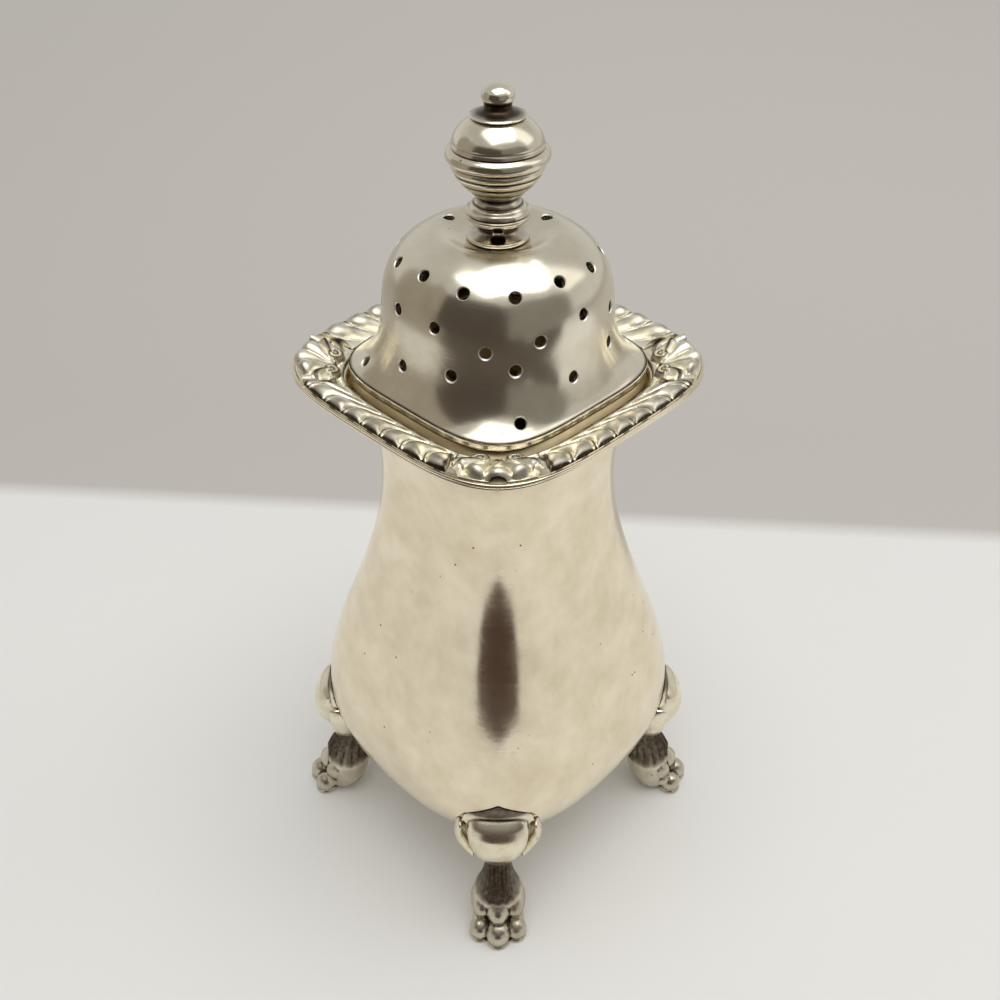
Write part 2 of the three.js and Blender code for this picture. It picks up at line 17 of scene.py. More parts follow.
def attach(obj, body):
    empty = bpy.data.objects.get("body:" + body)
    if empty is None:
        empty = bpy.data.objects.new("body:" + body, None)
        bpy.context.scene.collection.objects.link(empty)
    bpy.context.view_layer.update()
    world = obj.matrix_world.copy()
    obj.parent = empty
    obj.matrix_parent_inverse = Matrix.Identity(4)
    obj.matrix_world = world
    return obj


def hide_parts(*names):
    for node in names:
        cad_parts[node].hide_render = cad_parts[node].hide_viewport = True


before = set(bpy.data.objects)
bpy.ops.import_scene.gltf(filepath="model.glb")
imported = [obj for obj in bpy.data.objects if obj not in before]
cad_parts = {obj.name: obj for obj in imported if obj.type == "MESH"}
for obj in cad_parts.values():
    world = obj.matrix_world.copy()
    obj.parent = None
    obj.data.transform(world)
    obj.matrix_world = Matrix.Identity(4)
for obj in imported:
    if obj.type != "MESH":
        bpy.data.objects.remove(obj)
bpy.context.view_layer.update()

bl_info = {
    "name": "Square baluster salt shaker",
    "version": (1, 0, 0),
    "blender": (4, 5, 0),
    "location": "View3D > Sidebar > Shaker",
    "description": "Vase on paw feet with a gadroon and shell rim and a lift-off pierced lid",
    "category": "Add Mesh",
}

TURN = 2 * math.pi
CORNER_ANGLE = TURN / 8
MM = 0.001
UP = Vector((0, 0, 1))
SMOOTH_SIDES = 240
TURNED_SIDES = 144
BEAD_SIDES = 900
SEAT_SIDES = 128
SIDES = ("right", "back", "left", "front")
CORNERS = ("back_right", "back_left", "front_left", "front_right")


def length(name, description, default):
    """A length that the user can change."""
    return bpy.props.FloatProperty(
        name=name, description=description, default=default, precision=5, unit="LENGTH"
    )


def number(name, description, default):
    """A plain number that the user can change."""
    return bpy.props.FloatProperty(name=name, description=description, default=default)


def count(name, description, default):
    """A whole number that the user can change."""
    return bpy.props.IntProperty(name=name, description=description, default=default, min=1)


def colour(name, description, default):
    """A colour that the user can change."""
    return bpy.props.FloatVectorProperty(
        name=name, description=description, default=default, size=3, min=0, max=1, subtype="COLOR"
    )


class VaseSizes(bpy.types.PropertyGroup):
    """Sizes of the vase. A corner is the distance from the axis to a rounded corner."""

    base_z: length("Base height", "Height of the bowl's lowest point above the table", 0.0081)
    bowl_height: length("Bowl height", "From the bowl's lowest point up to the belly", 0.0208)
    shoulder_height: length("Shoulder height", "From the belly up to the neck", 0.0469)
    flare_height: length("Flare height", "From the neck up to the flange", 0.0153)
    flange: length("Flange thickness", "Thickness of the rim's flange", 0.0008)
    wall: length("Wall", "Thickness of the vase's wall", 0.0009)
    base_corner: length("Base corner", "Corner of the opening under the bowl", 0.009)
    belly_corner: length("Belly corner", "Corner of the belly", 0.0292)
    neck_corner: length("Neck corner", "Corner of the neck", 0.01725)
    rim_corner: length("Rim corner", "Corner of the flange's edge", 0.0286)
    rim_dish: length("Rim dish", "How far the flange falls from its edge to the mouth", 0.0019)
    mouth_corner: length("Mouth corner", "Corner of the mouth's edge", 0.0212)
    base_squareness: number("Base squareness", "2 is round, more is squarer", 2.2)
    belly_squareness: number("Belly squareness", "2 is round, more is squarer", 3.0)
    rim_squareness: number("Rim squareness", "2 is round, more is squarer", 3.9)
    mouth_squareness: number("Mouth squareness", "2 is round, more is squarer", 3.4)
    shoulder_lean: number("Shoulder lean", "Below 1 the shoulder turns in lower down", 0.92)
    flare_sharpness: number("Flare sharpness", "Less turns out more suddenly", 1 / 3)

    @property
    def belly_z(self):
        return self.base_z + self.bowl_height

    @property
    def neck_z(self):
        return self.belly_z + self.shoulder_height

    @property
    def flange_z(self):
        return self.neck_z + self.flare_height

    @property
    def rim_z(self):
        return self.flange_z + self.flange


class BorderSizes(bpy.types.PropertyGroup):
    """Sizes of the cast border on the rim."""

    margin: length("Flange margin", "Plain edge of the flange outside the border", 0.0005)
    solder: length("Solder gap", "Between pieces that are soldered together", 0.0003)
    mitre: length("Mitre gap", "Between the lengths of the border and the shells", 0.0001)
    edge: length("Edge", "Height of the border's edges", 0.00025)
    gadroons: count("Gadroons", "Gadroons in one length", 7)
    gadroon_height: length("Gadroon height", "Height of a gadroon above the flange", 0.0016)
    gadroon_sweep: number("Gadroon sweep", "Gadroons that a groove moves along as it crosses", 0.9)
    shell_spread: number("Shell spread", "Half of a corner shell's angle, in radians", 0.236)
    shell_height: length("Shell height", "Height of a shell above the flange", 0.0021)
    shell_ribs: count("Shell ribs", "Ribs of a corner shell", 9)
    shell_radius: length("Shell radius", "From the fan's focus to its edge", 0.0057)
    shell_fan: number("Shell fan", "Half of the fan's opening angle, in radians", 1.35)


class FootSizes(bpy.types.PropertyGroup):
    """Sizes of a paw foot."""

    knee_rise: length("Knee rise", "How far the knee reaches above the belly", 0.0017)
    knee_width: length("Knee width", "Width of the knee", 0.0099)
    ankle_width: length("Ankle width", "Width of the ankle", 0.0052)
    paw_width: length("Paw width", "Width across the toes", 0.01)
    paw_reach: length("Paw reach", "From the belly's corner out to the middle toe's tip", 0.0065)
    toe_width: length("Toe width", "Width of a toe", 0.0039)


class LidSizes(bpy.types.PropertyGroup):
    """Sizes of the lid."""

    wall: length("Lid wall", "Thickness of the dome", 0.0008)
    mouth_gap: length("Mouth gap", "Between the bead and the mouth at a corner", 0.0004)
    skirt_step: length("Skirt step", "How far the skirt lies inside the bead's edge", 0.00015)
    bead_height: length("Bead height", "Height of the bead", 0.0012)
    bead_sink: length("Bead sink", "How far the bead's underside lies below the rim", 0.0008)
    bead_step: length("Bead step", "How far the bead stands out from the dome's foot", 0.0003)
    bead_squareness: number("Bead squareness", "2 is round, more is squarer", 3.9)
    skirt_depth: length("Skirt depth", "How far the skirt goes down below the bead", 0.0031)
    skirt_wall: length("Skirt wall", "Thickness of the skirt", 0.0006)
    dome_height: length("Dome height", "From the bead to the crown before it dips", 0.0200)
    shoulder: length("Dome shoulder", "Corner of the dome's upright part", 0.0153)
    shoulder_height: length("Shoulder height", "Where the crown's curve begins", 0.0086)
    crown_dip: length("Crown dip", "How far the crown is pressed in under the finial", 0.0019)
    crown_dip_radius: length("Crown dip radius", "Where the dip begins", 0.0085)
    flare_length: length("Flare length", "How fast the dome's foot narrows", 0.0027)
    flare_bend: number("Flare bend", "Less turns the dome's foot out more suddenly", 0.9)
    fullness: number("Fullness", "2 is an ellipse, more is fuller", 2.7)
    square_height: length("Square height", "Above this the dome is round", 0.016)
    square_length: length("Square length", "How fast the dome's foot loses its squareness", 0.0013)
    wall_squareness: number("Wall squareness", "Added to 2 in the dome's upright part", 0.35)
    hole: length("Hole diameter", "Diameter of a sprinkling hole", 0.00155)
    hole_lip: length("Hole lip", "Width of the bright edge round a hole", 0.00018)


class FinialSizes(bpy.types.PropertyGroup):
    """Sizes of the turned finial."""

    spigot: length("Spigot radius", "Radius of the spigot through the crown", 0.0015)
    spigot_length: length("Spigot length", "Length of the spigot below the crown", 0.0019)
    foot: length("Foot radius", "Radius of the finial's foot", 0.0041)
    waist: length("Waist radius", "Radius of the waists above and below the knop", 0.0025)
    knop: length("Knop radius", "Radius of the stem's knop", 0.0042)
    globe: length("Globe radius", "Radius of the globe", 0.0059)
    ridge: length("Ridge radius", "Radius of the ridge round the globe", 0.0066)
    cap: length("Cap radius", "Radius of the cap on the globe", 0.0035)
    neck: length("Neck radius", "Radius of the neck under the ball", 0.0017)
    ball: length("Ball radius", "Radius of the flattened ball on top", 0.00205)
    ball_height: length("Ball height", "Half the height of the ball", 0.00145)
    foot_edge: length("Foot edge", "Height of the foot's upright edge", 0.00045)
    foot_rise: length("Foot rise", "Height of the foot's cone", 0.001)
    knop_height: length("Knop height", "Height of the knop", 0.0040)
    globe_below: length("Globe below", "Height of the globe below its ridge", 0.0043)
    ridge_height: length("Ridge height", "Height of the ridge", 0.0019)
    globe_above: length("Globe above", "Height of the globe above its ridge", 0.0033)
    cap_height: length("Cap height", "Height of the cap", 0.0018)
    groove: length("Groove depth", "Depth of a turned groove", 0.00022)


class Finishes(bpy.types.PropertyGroup):
    """Colours of the metal, of what has settled on it, and of painted shade and a painted highlight."""

    plate: colour("Silver plate", "Warm polished silver plate", (0.92, 0.83, 0.65))
    plate_cool: colour("Dull plate", "Where the plate is duller", (0.77, 0.675, 0.50))
    dome: colour("Dome", "The dome and the finial", (0.86, 0.81, 0.67))
    dome_dull: colour("Dull dome", "Where the dome is duller", (0.68, 0.62, 0.50))
    cast: colour("Cast silver", "Polished high spots of the castings", (0.93, 0.88, 0.72))
    cast_bright: colour("Bright casting", "Brightest high spots of the rim's castings", (0.98, 0.94, 0.8))
    cast_dull: colour("Dull casting", "Where a casting is less polished", (0.76, 0.68, 0.51))
    bead: colour("Bead", "Yellowish white of the bead", (0.86, 0.82, 0.66))
    # The hole rim colour is a painted highlight, near white, for light caught by the holes' edges.
    rim: colour("Hole rim", "Bright scraped edge of a hole", (0.97, 0.96, 0.92))
    # This dark colour is tarnish in hollows, and also the painted shade on the paws, above the knees and in
    # the finial's bore.
    tarnish: colour("Tarnish", "Dark tarnish in recesses", (0.06, 0.042, 0.028))
    gilt: colour("Gilt", "Satin gilt of the skirt", (0.97, 0.83, 0.54))
    gilt_worn: colour("Worn gilt", "Where the gilt has browned", (0.70, 0.56, 0.34))


class StudioSettings(bpy.types.PropertyGroup):
    """The floor, the camera and the light."""

    floor: colour("Floor", "Pale floor", (0.83, 0.825, 0.81))
    far_floor: colour("Far floor", "Grey-beige of the floor's far part", (0.54, 0.515, 0.485))
    room_low: colour("Low room", "The room near the horizon", (0.62, 0.61, 0.59))
    room_high: colour("High room", "The room overhead", (0.50, 0.495, 0.48))
    far_start: length("Far floor start", "How far behind the shaker the far part begins", 0.079)
    camera_back: length("Camera distance", "From the shaker's axis to the camera", 0.1266)
    camera_height: length("Camera height", "Height of the camera above the floor", 0.1671)
    camera_pitch: bpy.props.FloatProperty(
        name="Camera pitch", description="How far the camera looks down", default=math.radians(38.26),
        subtype="ANGLE",
    )
    camera_shift: number("Camera shift", "Sideways shift of the frame, as a share of it", 0.002)
    lens: number("Lens", "Focal length in millimetres", 37.8)
    sensor: number("Sensor", "Width of the sensor in millimetres", 36.0)


def eased(at, places, values):
    """A smooth curve through the values, which never swings past them."""
    places, values = np.asarray(places, float), np.asarray(values, float)
    slopes = np.diff(values) / np.diff(places)
    product = slopes[1:] * slopes[:-1]
    middle = np.where(product > 0, 2 * product / np.where(product > 0, slopes[1:] + slopes[:-1], 1), 0)
    tangents = np.concatenate([slopes[:1], middle, slopes[-1:]])
    i = np.clip(np.searchsorted(places, at) - 1, 0, len(places) - 2)
    span = places[i + 1] - places[i]
    t = (at - places[i]) / span
    start = (1 + 2 * t) * (1 - t) ** 2 * values[i] + t * (1 - t) ** 2 * span * tangents[i]
    end = t**2 * (3 - 2 * t) * values[i + 1] + t**2 * (t - 1) * span * tangents[i + 1]
    return start + end


def smooth_step(value, low, high):
    """0 below low and 1 above high, with a soft change between them."""
    t = np.clip((value - low) / (high - low), 0, 1)
    return t * t * (3 - 2 * t)


def mix(start, end, share):
    """The value at a share of the way from start to end."""
    return start + (end - start) * share


def arch(offset, half_width):
    """Height of a round arch, 1 in its middle and 0 beyond its half width."""
    return np.sqrt(np.clip(1 - (offset / half_width) ** 2, 0, 1))


def reach(corner, squareness, angle):
    """Distance from the axis to the edge of a cushion-shaped section."""
    half_width = corner * 2 ** (1 / squareness - 0.5)
    across = np.abs(np.cos(angle)) ** squareness
    along = np.abs(np.sin(angle)) ** squareness
    return half_width / (across + along) ** (1 / squareness)


def cushion(rows, sides):
    """Points of cushion-shaped sections, from rows of height, corner and squareness."""
    z, corner, squareness = (np.asarray(column)[:, None] for column in zip(*rows))
    angle = np.arange(sides)[None, :] * TURN / sides
    radius = reach(corner, squareness, angle)
    return np.stack([radius * np.cos(angle), radius * np.sin(angle), z + 0 * angle], -1)


def outwards(distance, height, turn=0.0):
    """A point in front of the camera's corner, turned about the axis."""
    angle = -CORNER_ANGLE + turn
    return Vector((distance * math.cos(angle), distance * math.sin(angle), height))


def mesh_of(name, points, faces):
    """A smooth-shaded mesh."""
    mesh = bpy.data.meshes.new(name)
    mesh.from_pydata(np.asarray(points, float).tolist(), [], faces)
    mesh.polygons.foreach_set("use_smooth", np.ones(len(mesh.polygons), bool))
    mesh.update()
    return mesh


def grid_faces(rows, columns, wrap_rows, wrap_columns):
    """Quads of a grid of points."""
    i = np.arange(rows if wrap_rows else rows - 1)[:, None]
    j = np.arange(columns if wrap_columns else columns - 1)[None, :]
    below, above = i * columns, (i + 1) % rows * columns
    after = (j + 1) % columns
    return np.stack([below + j, below + after, above + after, above + j], -1).reshape(-1, 4).tolist()


def ring_shell(name, grid):
    """A closed skin of rings that leads round and back to the first ring."""
    rows, columns = grid.shape[:2]
    return mesh_of(name, grid.reshape(-1, 3), grid_faces(rows, columns, True, True))


def lofted(name, grid):
    """A solid of rings, closed at both ends."""
    rows, columns = grid.shape[:2]
    faces = grid_faces(rows, columns, False, True)
    faces.append(list(range(columns))[::-1])
    faces.append(list(range((rows - 1) * columns, rows * columns)))
    return mesh_of(name, grid.reshape(-1, 3), faces)


def mesh_from(name, form):
    """The mesh of a form that is ready, which is then freed."""
    mesh = bpy.data.meshes.new(name)
    form.to_mesh(mesh)
    form.free()
    return mesh


def placed(name, data):
    """A new object in the scene."""
    made = bpy.data.objects.new(name, data)
    bpy.context.scene.collection.objects.link(made)
    return made


def settled(name, mesh, *modifiers):
    """The mesh after modifiers, each a kind and its settings."""
    carrier = placed(name, mesh)
    for kind, settings in modifiers:
        modifier = carrier.modifiers.new(kind.title(), kind)
        for key, value in settings.items():
            setattr(modifier, key, value)
    graph = bpy.context.evaluated_depsgraph_get()
    made = bpy.data.meshes.new_from_object(carrier.evaluated_get(graph))
    bpy.data.objects.remove(carrier)
    bpy.data.meshes.remove(mesh)
    made.name = name
    return made


def cut(name, mesh, tool, solver="EXACT"):
    """The mesh less a tool mesh."""
    carrier = placed("tool", tool)
    settings = {"operation": "DIFFERENCE", "solver": solver, "object": carrier}
    made = settled(name, mesh, ("BOOLEAN", settings))
    bpy.data.objects.remove(carrier)
    bpy.data.meshes.remove(tool)
    return made


def smoothed_below(mesh, degrees):
    """Shades the mesh smooth, apart from its edges that are sharper than an angle."""
    mesh.polygons.foreach_set("use_smooth", np.ones(len(mesh.polygons), bool))
    mesh.set_sharp_from_angle(angle=math.radians(degrees))


def mark(mesh, values, name="tarnish"):
    """Stores one number for each vertex, for the material."""
    attribute = mesh.attributes.new(name, "FLOAT", "POINT")
    attribute.data.foreach_set("value", np.clip(values, 0, 1).astype(np.float32))


def places_of(mesh, what="co"):
    """The places or the normals of the mesh's vertices."""
    values = np.zeros(3 * len(mesh.vertices))
    mesh.vertices.foreach_get(what, values)
    return values.reshape(-1, 3)


def hollows(mesh, rounds):
    """How deep each vertex lies below the smoothed surface, in metres."""
    pairs = np.zeros(2 * len(mesh.edges), int)
    mesh.edges.foreach_get("vertices", pairs)
    starts, ends = pairs.reshape(-1, 2).T
    both, others = np.concatenate([starts, ends]), np.concatenate([ends, starts])
    total = len(mesh.vertices)
    share = np.maximum(np.bincount(both, minlength=total), 1)[:, None]
    places = places_of(mesh)
    smoothed = places.copy()
    for _ in range(rounds):
        sums = [np.bincount(both, smoothed[others, axis], total) for axis in range(3)]
        smoothed = 0.5 * smoothed + 0.5 * np.stack(sums, -1) / share
    return ((smoothed - places) * places_of(mesh, "normal")).sum(1)


def mark_hollows(mesh, *others, rounds, depth, clear):
    """Marks the hollows, by their share of a depth less a share that stays clear, and other places."""
    mark(mesh, np.maximum.reduce([hollows(mesh, rounds) / depth - clear, *others]))


def show(name, mesh, body, nodes, materials, turn=0):
    """Puts a piece on its body in place of CAD nodes."""
    piece = placed(name, mesh)
    piece.rotation_euler.z = turn
    if not mesh.materials:
        for material in materials:
            mesh.materials.append(material)
    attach(piece, body)
    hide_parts(*nodes)


def chosen(context, *groups):
    """The groups of settings with these names."""
    return [getattr(context.scene, "shaker_" + group) for group in groups]


# Metal finishes


def feed(tree, socket, value):
    """Gives a node's input a value or another node's output."""
    if isinstance(value, bpy.types.NodeSocket):
        tree.links.new(value, socket)
    else:
        socket.default_value = value


def add(tree, kind, inputs=(), **settings):
    """Adds a node, with its settings and with values or sockets for its inputs."""
    node = tree.nodes.new(kind)
    for key, value in settings.items():
        setattr(node, key, value)
    for key, value in dict(inputs).items():
        feed(tree, node.inputs[key], value)
    return node


def shaded(name):
    """A new material, its node tree and its shader."""
    material = bpy.data.materials.new(name)
    material.use_nodes = True
    return material, material.node_tree, material.node_tree.nodes["Principled BSDF"]


def blended(tree, share, first, second):
    """Mixes two colours, each a socket or a value, by a share."""
    node = add(tree, "ShaderNodeMix", {0: share}, data_type="RGBA")
    for key, value in ((6, first), (7, second)):
        feed(tree, node.inputs[key], value if isinstance(value, bpy.types.NodeSocket) else (*value, 1))
    return node.outputs[2]


def maths(tree, operation, *values, clamp=False):
    """A math node's result from values or sockets."""
    inputs = dict(enumerate(values))
    return add(tree, "ShaderNodeMath", inputs, operation=operation, use_clamp=clamp).outputs[0]


def weighed(tree, *pairs):
    """The sum of values, each times its weight."""
    total = 0.0
    for value, weight in pairs:
        total = maths(tree, "ADD", total, maths(tree, "MULTIPLY", value, weight))
    return total


def ranged(tree, value, low, high, to_low=0.0, to_high=1.0):
    """Maps a value from one range to another, held at its ends."""
    inputs = {"Value": value, "From Min": low, "From Max": high, "To Min": to_low, "To Max": to_high}
    return add(tree, "ShaderNodeMapRange", inputs).outputs[0]


def noise(tree, place, scale, detail=3.0, roughness=0.55):
    """Soft noise, mostly between 0.3 and 0.7."""
    inputs = {"Vector": place, "Scale": scale, "Detail": detail, "Roughness": roughness}
    return add(tree, "ShaderNodeTexNoise", inputs).outputs[0]


def streaks(tree, place, turn, scale, fineness):
    """Fine parallel scratches: 1 on a scratch and 0 elsewhere."""
    inputs = {"Vector": place, "Rotation": turn, "Scale": scale}
    turned = add(tree, "ShaderNodeMapping", inputs).outputs[0]
    return ranged(tree, noise(tree, turned, 1.0, 2.0, 0.6), fineness, fineness + 0.05)


def pits(tree, place, share):
    """Small round pits in a share of the cells of a net."""
    net = add(tree, "ShaderNodeTexVoronoi", {"Vector": place, "Scale": PIT_SCALE})
    lot = add(tree, "ShaderNodeSeparateColor", {"Color": net.outputs["Color"]}).outputs[0]
    round_pit = ranged(tree, net.outputs["Distance"], PIT_SIZE, 0.5 * PIT_SIZE)
    return maths(tree, "MULTIPLY", round_pit, ranged(tree, lot, 1 - share, 1 - share + 0.01))


SCRATCHES = (  # turn, scale on each axis and fineness of two sets of parallel scratches
    ((0.4, 0.9, 0.2), (120.0, 160.0, 7000.0), 0.62),
    ((1.1, 0.3, 0.7), (90.0, 5200.0, 140.0), 0.64),
)
GRAIN_SCALE = 1400.0
SWELL_SCALE = 160.0
PIT_SCALE = 420.0
PIT_SIZE = 0.085
METALS = (  # name, clean and dull colour, roughness, relief in micrometres, share of pits, cloud scale
    ("vase_plate", "plate", "plate_cool", 0.15, 25, 0.22, 160.0),
    ("dome_plate", "dome", "dome_dull", 0.21, 20, 0.12, 90.0),
    ("worn_casting", "cast", "cast_dull", 0.24, 30, 0.3, 300.0),
    ("rim_casting", "cast_bright", "cast", 0.33, 60, 0.25, 400.0),
    ("turned_silver", "dome", "dome_dull", 0.17, 20, 0.15, 200.0),
    ("bead_plate", "bead", "plate", 0.22, 10, 0.1, 75.0),
    ("hole_rim", "rim", "bead", 0.5, 10, 0.02, 75.0),
    ("skirt_gilt", "gilt", "gilt_worn", 0.36, 10, 0.1, 75.0),
    ("gilt_inside", "gilt_worn", "gilt", 0.34, 10, 0.1, 75.0),
)


def metal(name, clean, dull, dirt_and_shade, roughness, relief, pitting, cloud_scale):
    """Worn metal: two tones in clouds, pits and scratches, and a dark colour where the mesh is marked, which
    is tarnish in hollows and painted shade on the paws, the collars above the knees and the finial's bore.
    """
    material, tree, shader = shaded(name)
    shader.inputs["Metallic"].default_value = 1.0
    place = add(tree, "ShaderNodeTexCoord").outputs["Object"]
    clouds = noise(tree, place, cloud_scale, 6.0, 0.6)
    grain = noise(tree, place, GRAIN_SCALE, 4.0, 0.65)
    swell = noise(tree, place, SWELL_SCALE, 1.0)
    lines = maths(tree, "MAXIMUM", *(streaks(tree, place, *scratches) for scratches in SCRATCHES))
    marked = add(tree, "ShaderNodeAttribute", attribute_name="tarnish").outputs["Fac"]
    patchy = maths(tree, "MULTIPLY", marked, ranged(tree, grain, 0.3, 0.7, 0.9, 1.1), clamp=True)
    # Tarnish in hollows and pits, and painted shade where the mesh is marked for it, take the dark colour.
    soiled_and_shaded = maths(tree, "MAXIMUM", patchy, pits(tree, place, pitting))
    base = blended(tree, ranged(tree, clouds, 0.35, 0.68), clean, dull)
    tree.links.new(blended(tree, soiled_and_shaded, base, dirt_and_shade), shader.inputs["Base Color"])
    worn = ranged(tree, clouds, 0.3, 0.7, 0.8 * roughness, 1.3 * roughness)
    rough = weighed(tree, (worn, 1.0), (lines, 0.03), (soiled_and_shaded, 0.14))
    tree.links.new(rough, shader.inputs["Roughness"])
    height = weighed(tree, (grain, 0.35), (lines, -0.04), (soiled_and_shaded, -0.4), (swell, 1.5))
    bump = add(tree, "ShaderNodeBump", {"Height": height, "Strength": 1.0, "Distance": relief * 1e-6})
    tree.links.new(bump.outputs[0], shader.inputs["Normal"])


def metals(context):
    """The shaker's finishes, made once."""
    colours, = chosen(context, "finishes")
    for name, clean, dull, *settings in METALS:
        if name not in bpy.data.materials:
            shades = (tuple(getattr(colours, shade)) for shade in (clean, dull, "tarnish"))
            metal(name, *shades, *settings)
    return bpy.data.materials


# Vase


OUTSIDE_STEPS = (40, 60, 40)  # sections of the bowl, the shoulder and the flare
INSIDE_STEPS = (16, 24, 24)
UNDER_FLANGE = 0.998  # share of the flare's height


def bowl_rows(vase, inset, opening, steps):
    """Quarter-ellipse bowl from its opening up to the belly."""
    belly, depth = vase.belly_corner - inset, vase.bowl_height - inset
    angle = np.linspace(math.asin(opening / belly), TURN / 4, steps)
    rise = 1 - np.cos(angle)
    squareness = mix(vase.base_squareness, vase.belly_squareness, rise)
    return list(zip(vase.belly_z - depth + depth * rise, belly * np.sin(angle), squareness))


def shoulder_rows(vase, inset, steps):
    """Ogee shoulder between the belly and the neck."""
    share = np.linspace(0, 1, steps)
    fall = (1 + np.cos(np.pi * share**vase.shoulder_lean)) / 2
    corner = mix(vase.neck_corner, vase.belly_corner, fall)
    z = mix(vase.belly_z, vase.neck_z, share)
    return [(height, width - inset, vase.belly_squareness) for height, width in zip(z, corner)]


def flare_rows(vase, inset, last, steps):
    """The flare, up to a share of its height, closer together where it turns out."""
    share = last * np.sin(np.linspace(0, TURN / 4, steps))
    spread = 1 - (1 - share**2) ** vase.flare_sharpness
    corner = mix(vase.neck_corner, vase.rim_corner, spread) - inset
    squareness = mix(vase.belly_squareness, vase.rim_squareness, spread)
    z = mix(vase.neck_z, vase.flange_z - vase.rim_dish, share) + vase.rim_dish * spread
    return list(zip(z, corner, squareness))


def skin_rows(vase, inset, last, steps):
    """A skin of the vase, from the base opening up to a share of the flare's height."""
    bowl, shoulder, flare = steps
    rows = bowl_rows(vase, inset, vase.base_corner, bowl)
    rows += shoulder_rows(vase, inset, shoulder)[1:]
    return rows + flare_rows(vase, inset, last, flare)[1:]


def outside_rows(vase):
    """The vase's outer skin, up to the flange's underside."""
    return skin_rows(vase, 0, UNDER_FLANGE, OUTSIDE_STEPS)


def inside_rows(vase):
    """The vase's inner skin, up to the mouth's edge."""
    return skin_rows(vase, vase.wall, mouth_share(vase), INSIDE_STEPS)


FLANGE_STEPS = (  # share of the flange's height, and millimetres in: the lip, the groove and the flat
    (0.02, 0.06), (0.08, 0.02), (0.2, 0.0), (0.36, 0.0), (0.42, 0.03), (0.45, 0.13), (0.5, 0.13),
    (0.53, 0.03), (0.6, 0.01), (0.85, 0.01), (0.95, 0.05), (1.0, 0.14), (1.0, 0.4),
)
GROOVE_STEPS = (5, 6)
MOUTH_STEPS = ((0.0, 0.18), (0.05, 0.05), (0.16, 0.0))  # millimetres down, and out


def flange_rows(vase):
    """The flange's edge: a rounded lip, a fine groove and the flat that carries the border."""
    return [(mix(vase.flange_z, vase.rim_z, up), vase.rim_corner - inset * MM, vase.rim_squareness)
            for up, inset in FLANGE_STEPS]


def mouth_rows(vase):
    """The mouth's rounded edge, from the flange's flat down to the flare's inside."""
    edge = vase.rim_z - vase.rim_dish
    return [(edge - down * MM, vase.mouth_corner + out * MM, vase.mouth_squareness)
            for down, out in MOUTH_STEPS]


def mouth_share(vase):
    """Share of the flare's height where its inside is as wide as the mouth."""
    spread = (vase.mouth_corner + vase.wall - vase.neck_corner) / (vase.rim_corner - vase.neck_corner)
    return math.sqrt(1 - (1 - spread) ** (1 / vase.flare_sharpness))


class SHAKER_OT_vase(bpy.types.Operator):
    """Makes the vase and finishes its base plate"""

    bl_idname = "shaker.vase"
    bl_label = "Vase"

    def execute(self, context):
        vase, = chosen(context, "vase")
        skin = outside_rows(vase)
        outside = skin + flange_rows(vase)
        rows = outside + mouth_rows(vase) + inside_rows(vase)[::-1]
        mesh = ring_shell("vase_body", cushion(rows, SMOOTH_SIDES))
        gilded = np.arange(len(mesh.polygons)) // SMOOTH_SIDES >= len(outside)
        mesh.polygons.foreach_set("material_index", gilded.astype(np.int32))
        step = np.arange(len(mesh.vertices)) // SMOOTH_SIDES - len(skin)
        mark(mesh, 0.8 * np.isin(step, GROOVE_STEPS))
        finishes = metals(context)
        materials = [finishes["vase_plate"], finishes["gilt_inside"]]
        show("vase_body", mesh, "vase", ["body_shell"], materials)
        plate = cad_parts["base_plate"]
        plate.data.materials.clear()
        plate.data.materials.append(finishes["vase_plate"])
        return {"FINISHED"}


# Rim border


GADROON_GRID = (280, 44)  # points along a length and across it
SHELL_GRID = (170, 80)
BORDER_SOIL = {"rounds": 30, "depth": 0.11 * MM, "clear": 0.2}
LOBE_HALF = 0.42  # of a gadroon's pitch
REED_PLACE, REED_HALF, REED_HEIGHT = 0.92, 0.085, 0.55  # the first two of the pitch, the last of a lobe
RIPPLES = ((1900, 700, 0.3), (-800, 2300, 1.7), (2900, 2500, 0.9), (-3100, 900, 2.2))
VOLUTE_MIDDLE = (2.05 * MM, 0.55 * MM)  # aside and out from the fan's focus
VOLUTE_START, VOLUTE_TURNS = -0.6, 1.55
SCALLOP, RIB_SHARPNESS = 0.93, 0.6


def block_faces(columns, rows):
    """Faces of a block with a grid on top and an underside that has points only round its edge.

    Returns the top's points round its edge too, in the order of the underside's points.
    """
    loop = np.concatenate([
        np.arange(columns) * rows,
        (columns - 1) * rows + np.arange(1, rows),
        np.arange(columns - 2, -1, -1) * rows + rows - 1,
        np.arange(rows - 2, 0, -1),
    ]).tolist()
    faces = [face[::-1] for face in grid_faces(columns, rows, False, False)]
    first, total = columns * rows, len(loop)
    for i in range(total):
        j = (i + 1) % total
        faces.append([loop[i], loop[j], first + j, first + i])
    inner_side = list(range(first, first + columns))
    outer_side = list(range(first + columns + rows - 2, first + 2 * columns + rows - 2))[::-1]
    for i in range(columns - 1):
        faces.append([inner_side[i], inner_side[i + 1], outer_side[i + 1], outer_side[i]])
    start = list(range(first + total - rows + 2, first + total))
    end = list(range(first + columns, first + columns + rows - 2))
    faces.append([inner_side[0], outer_side[0], *start])
    faces.append([inner_side[-1], *end, outer_side[-1]])
    return faces, loop


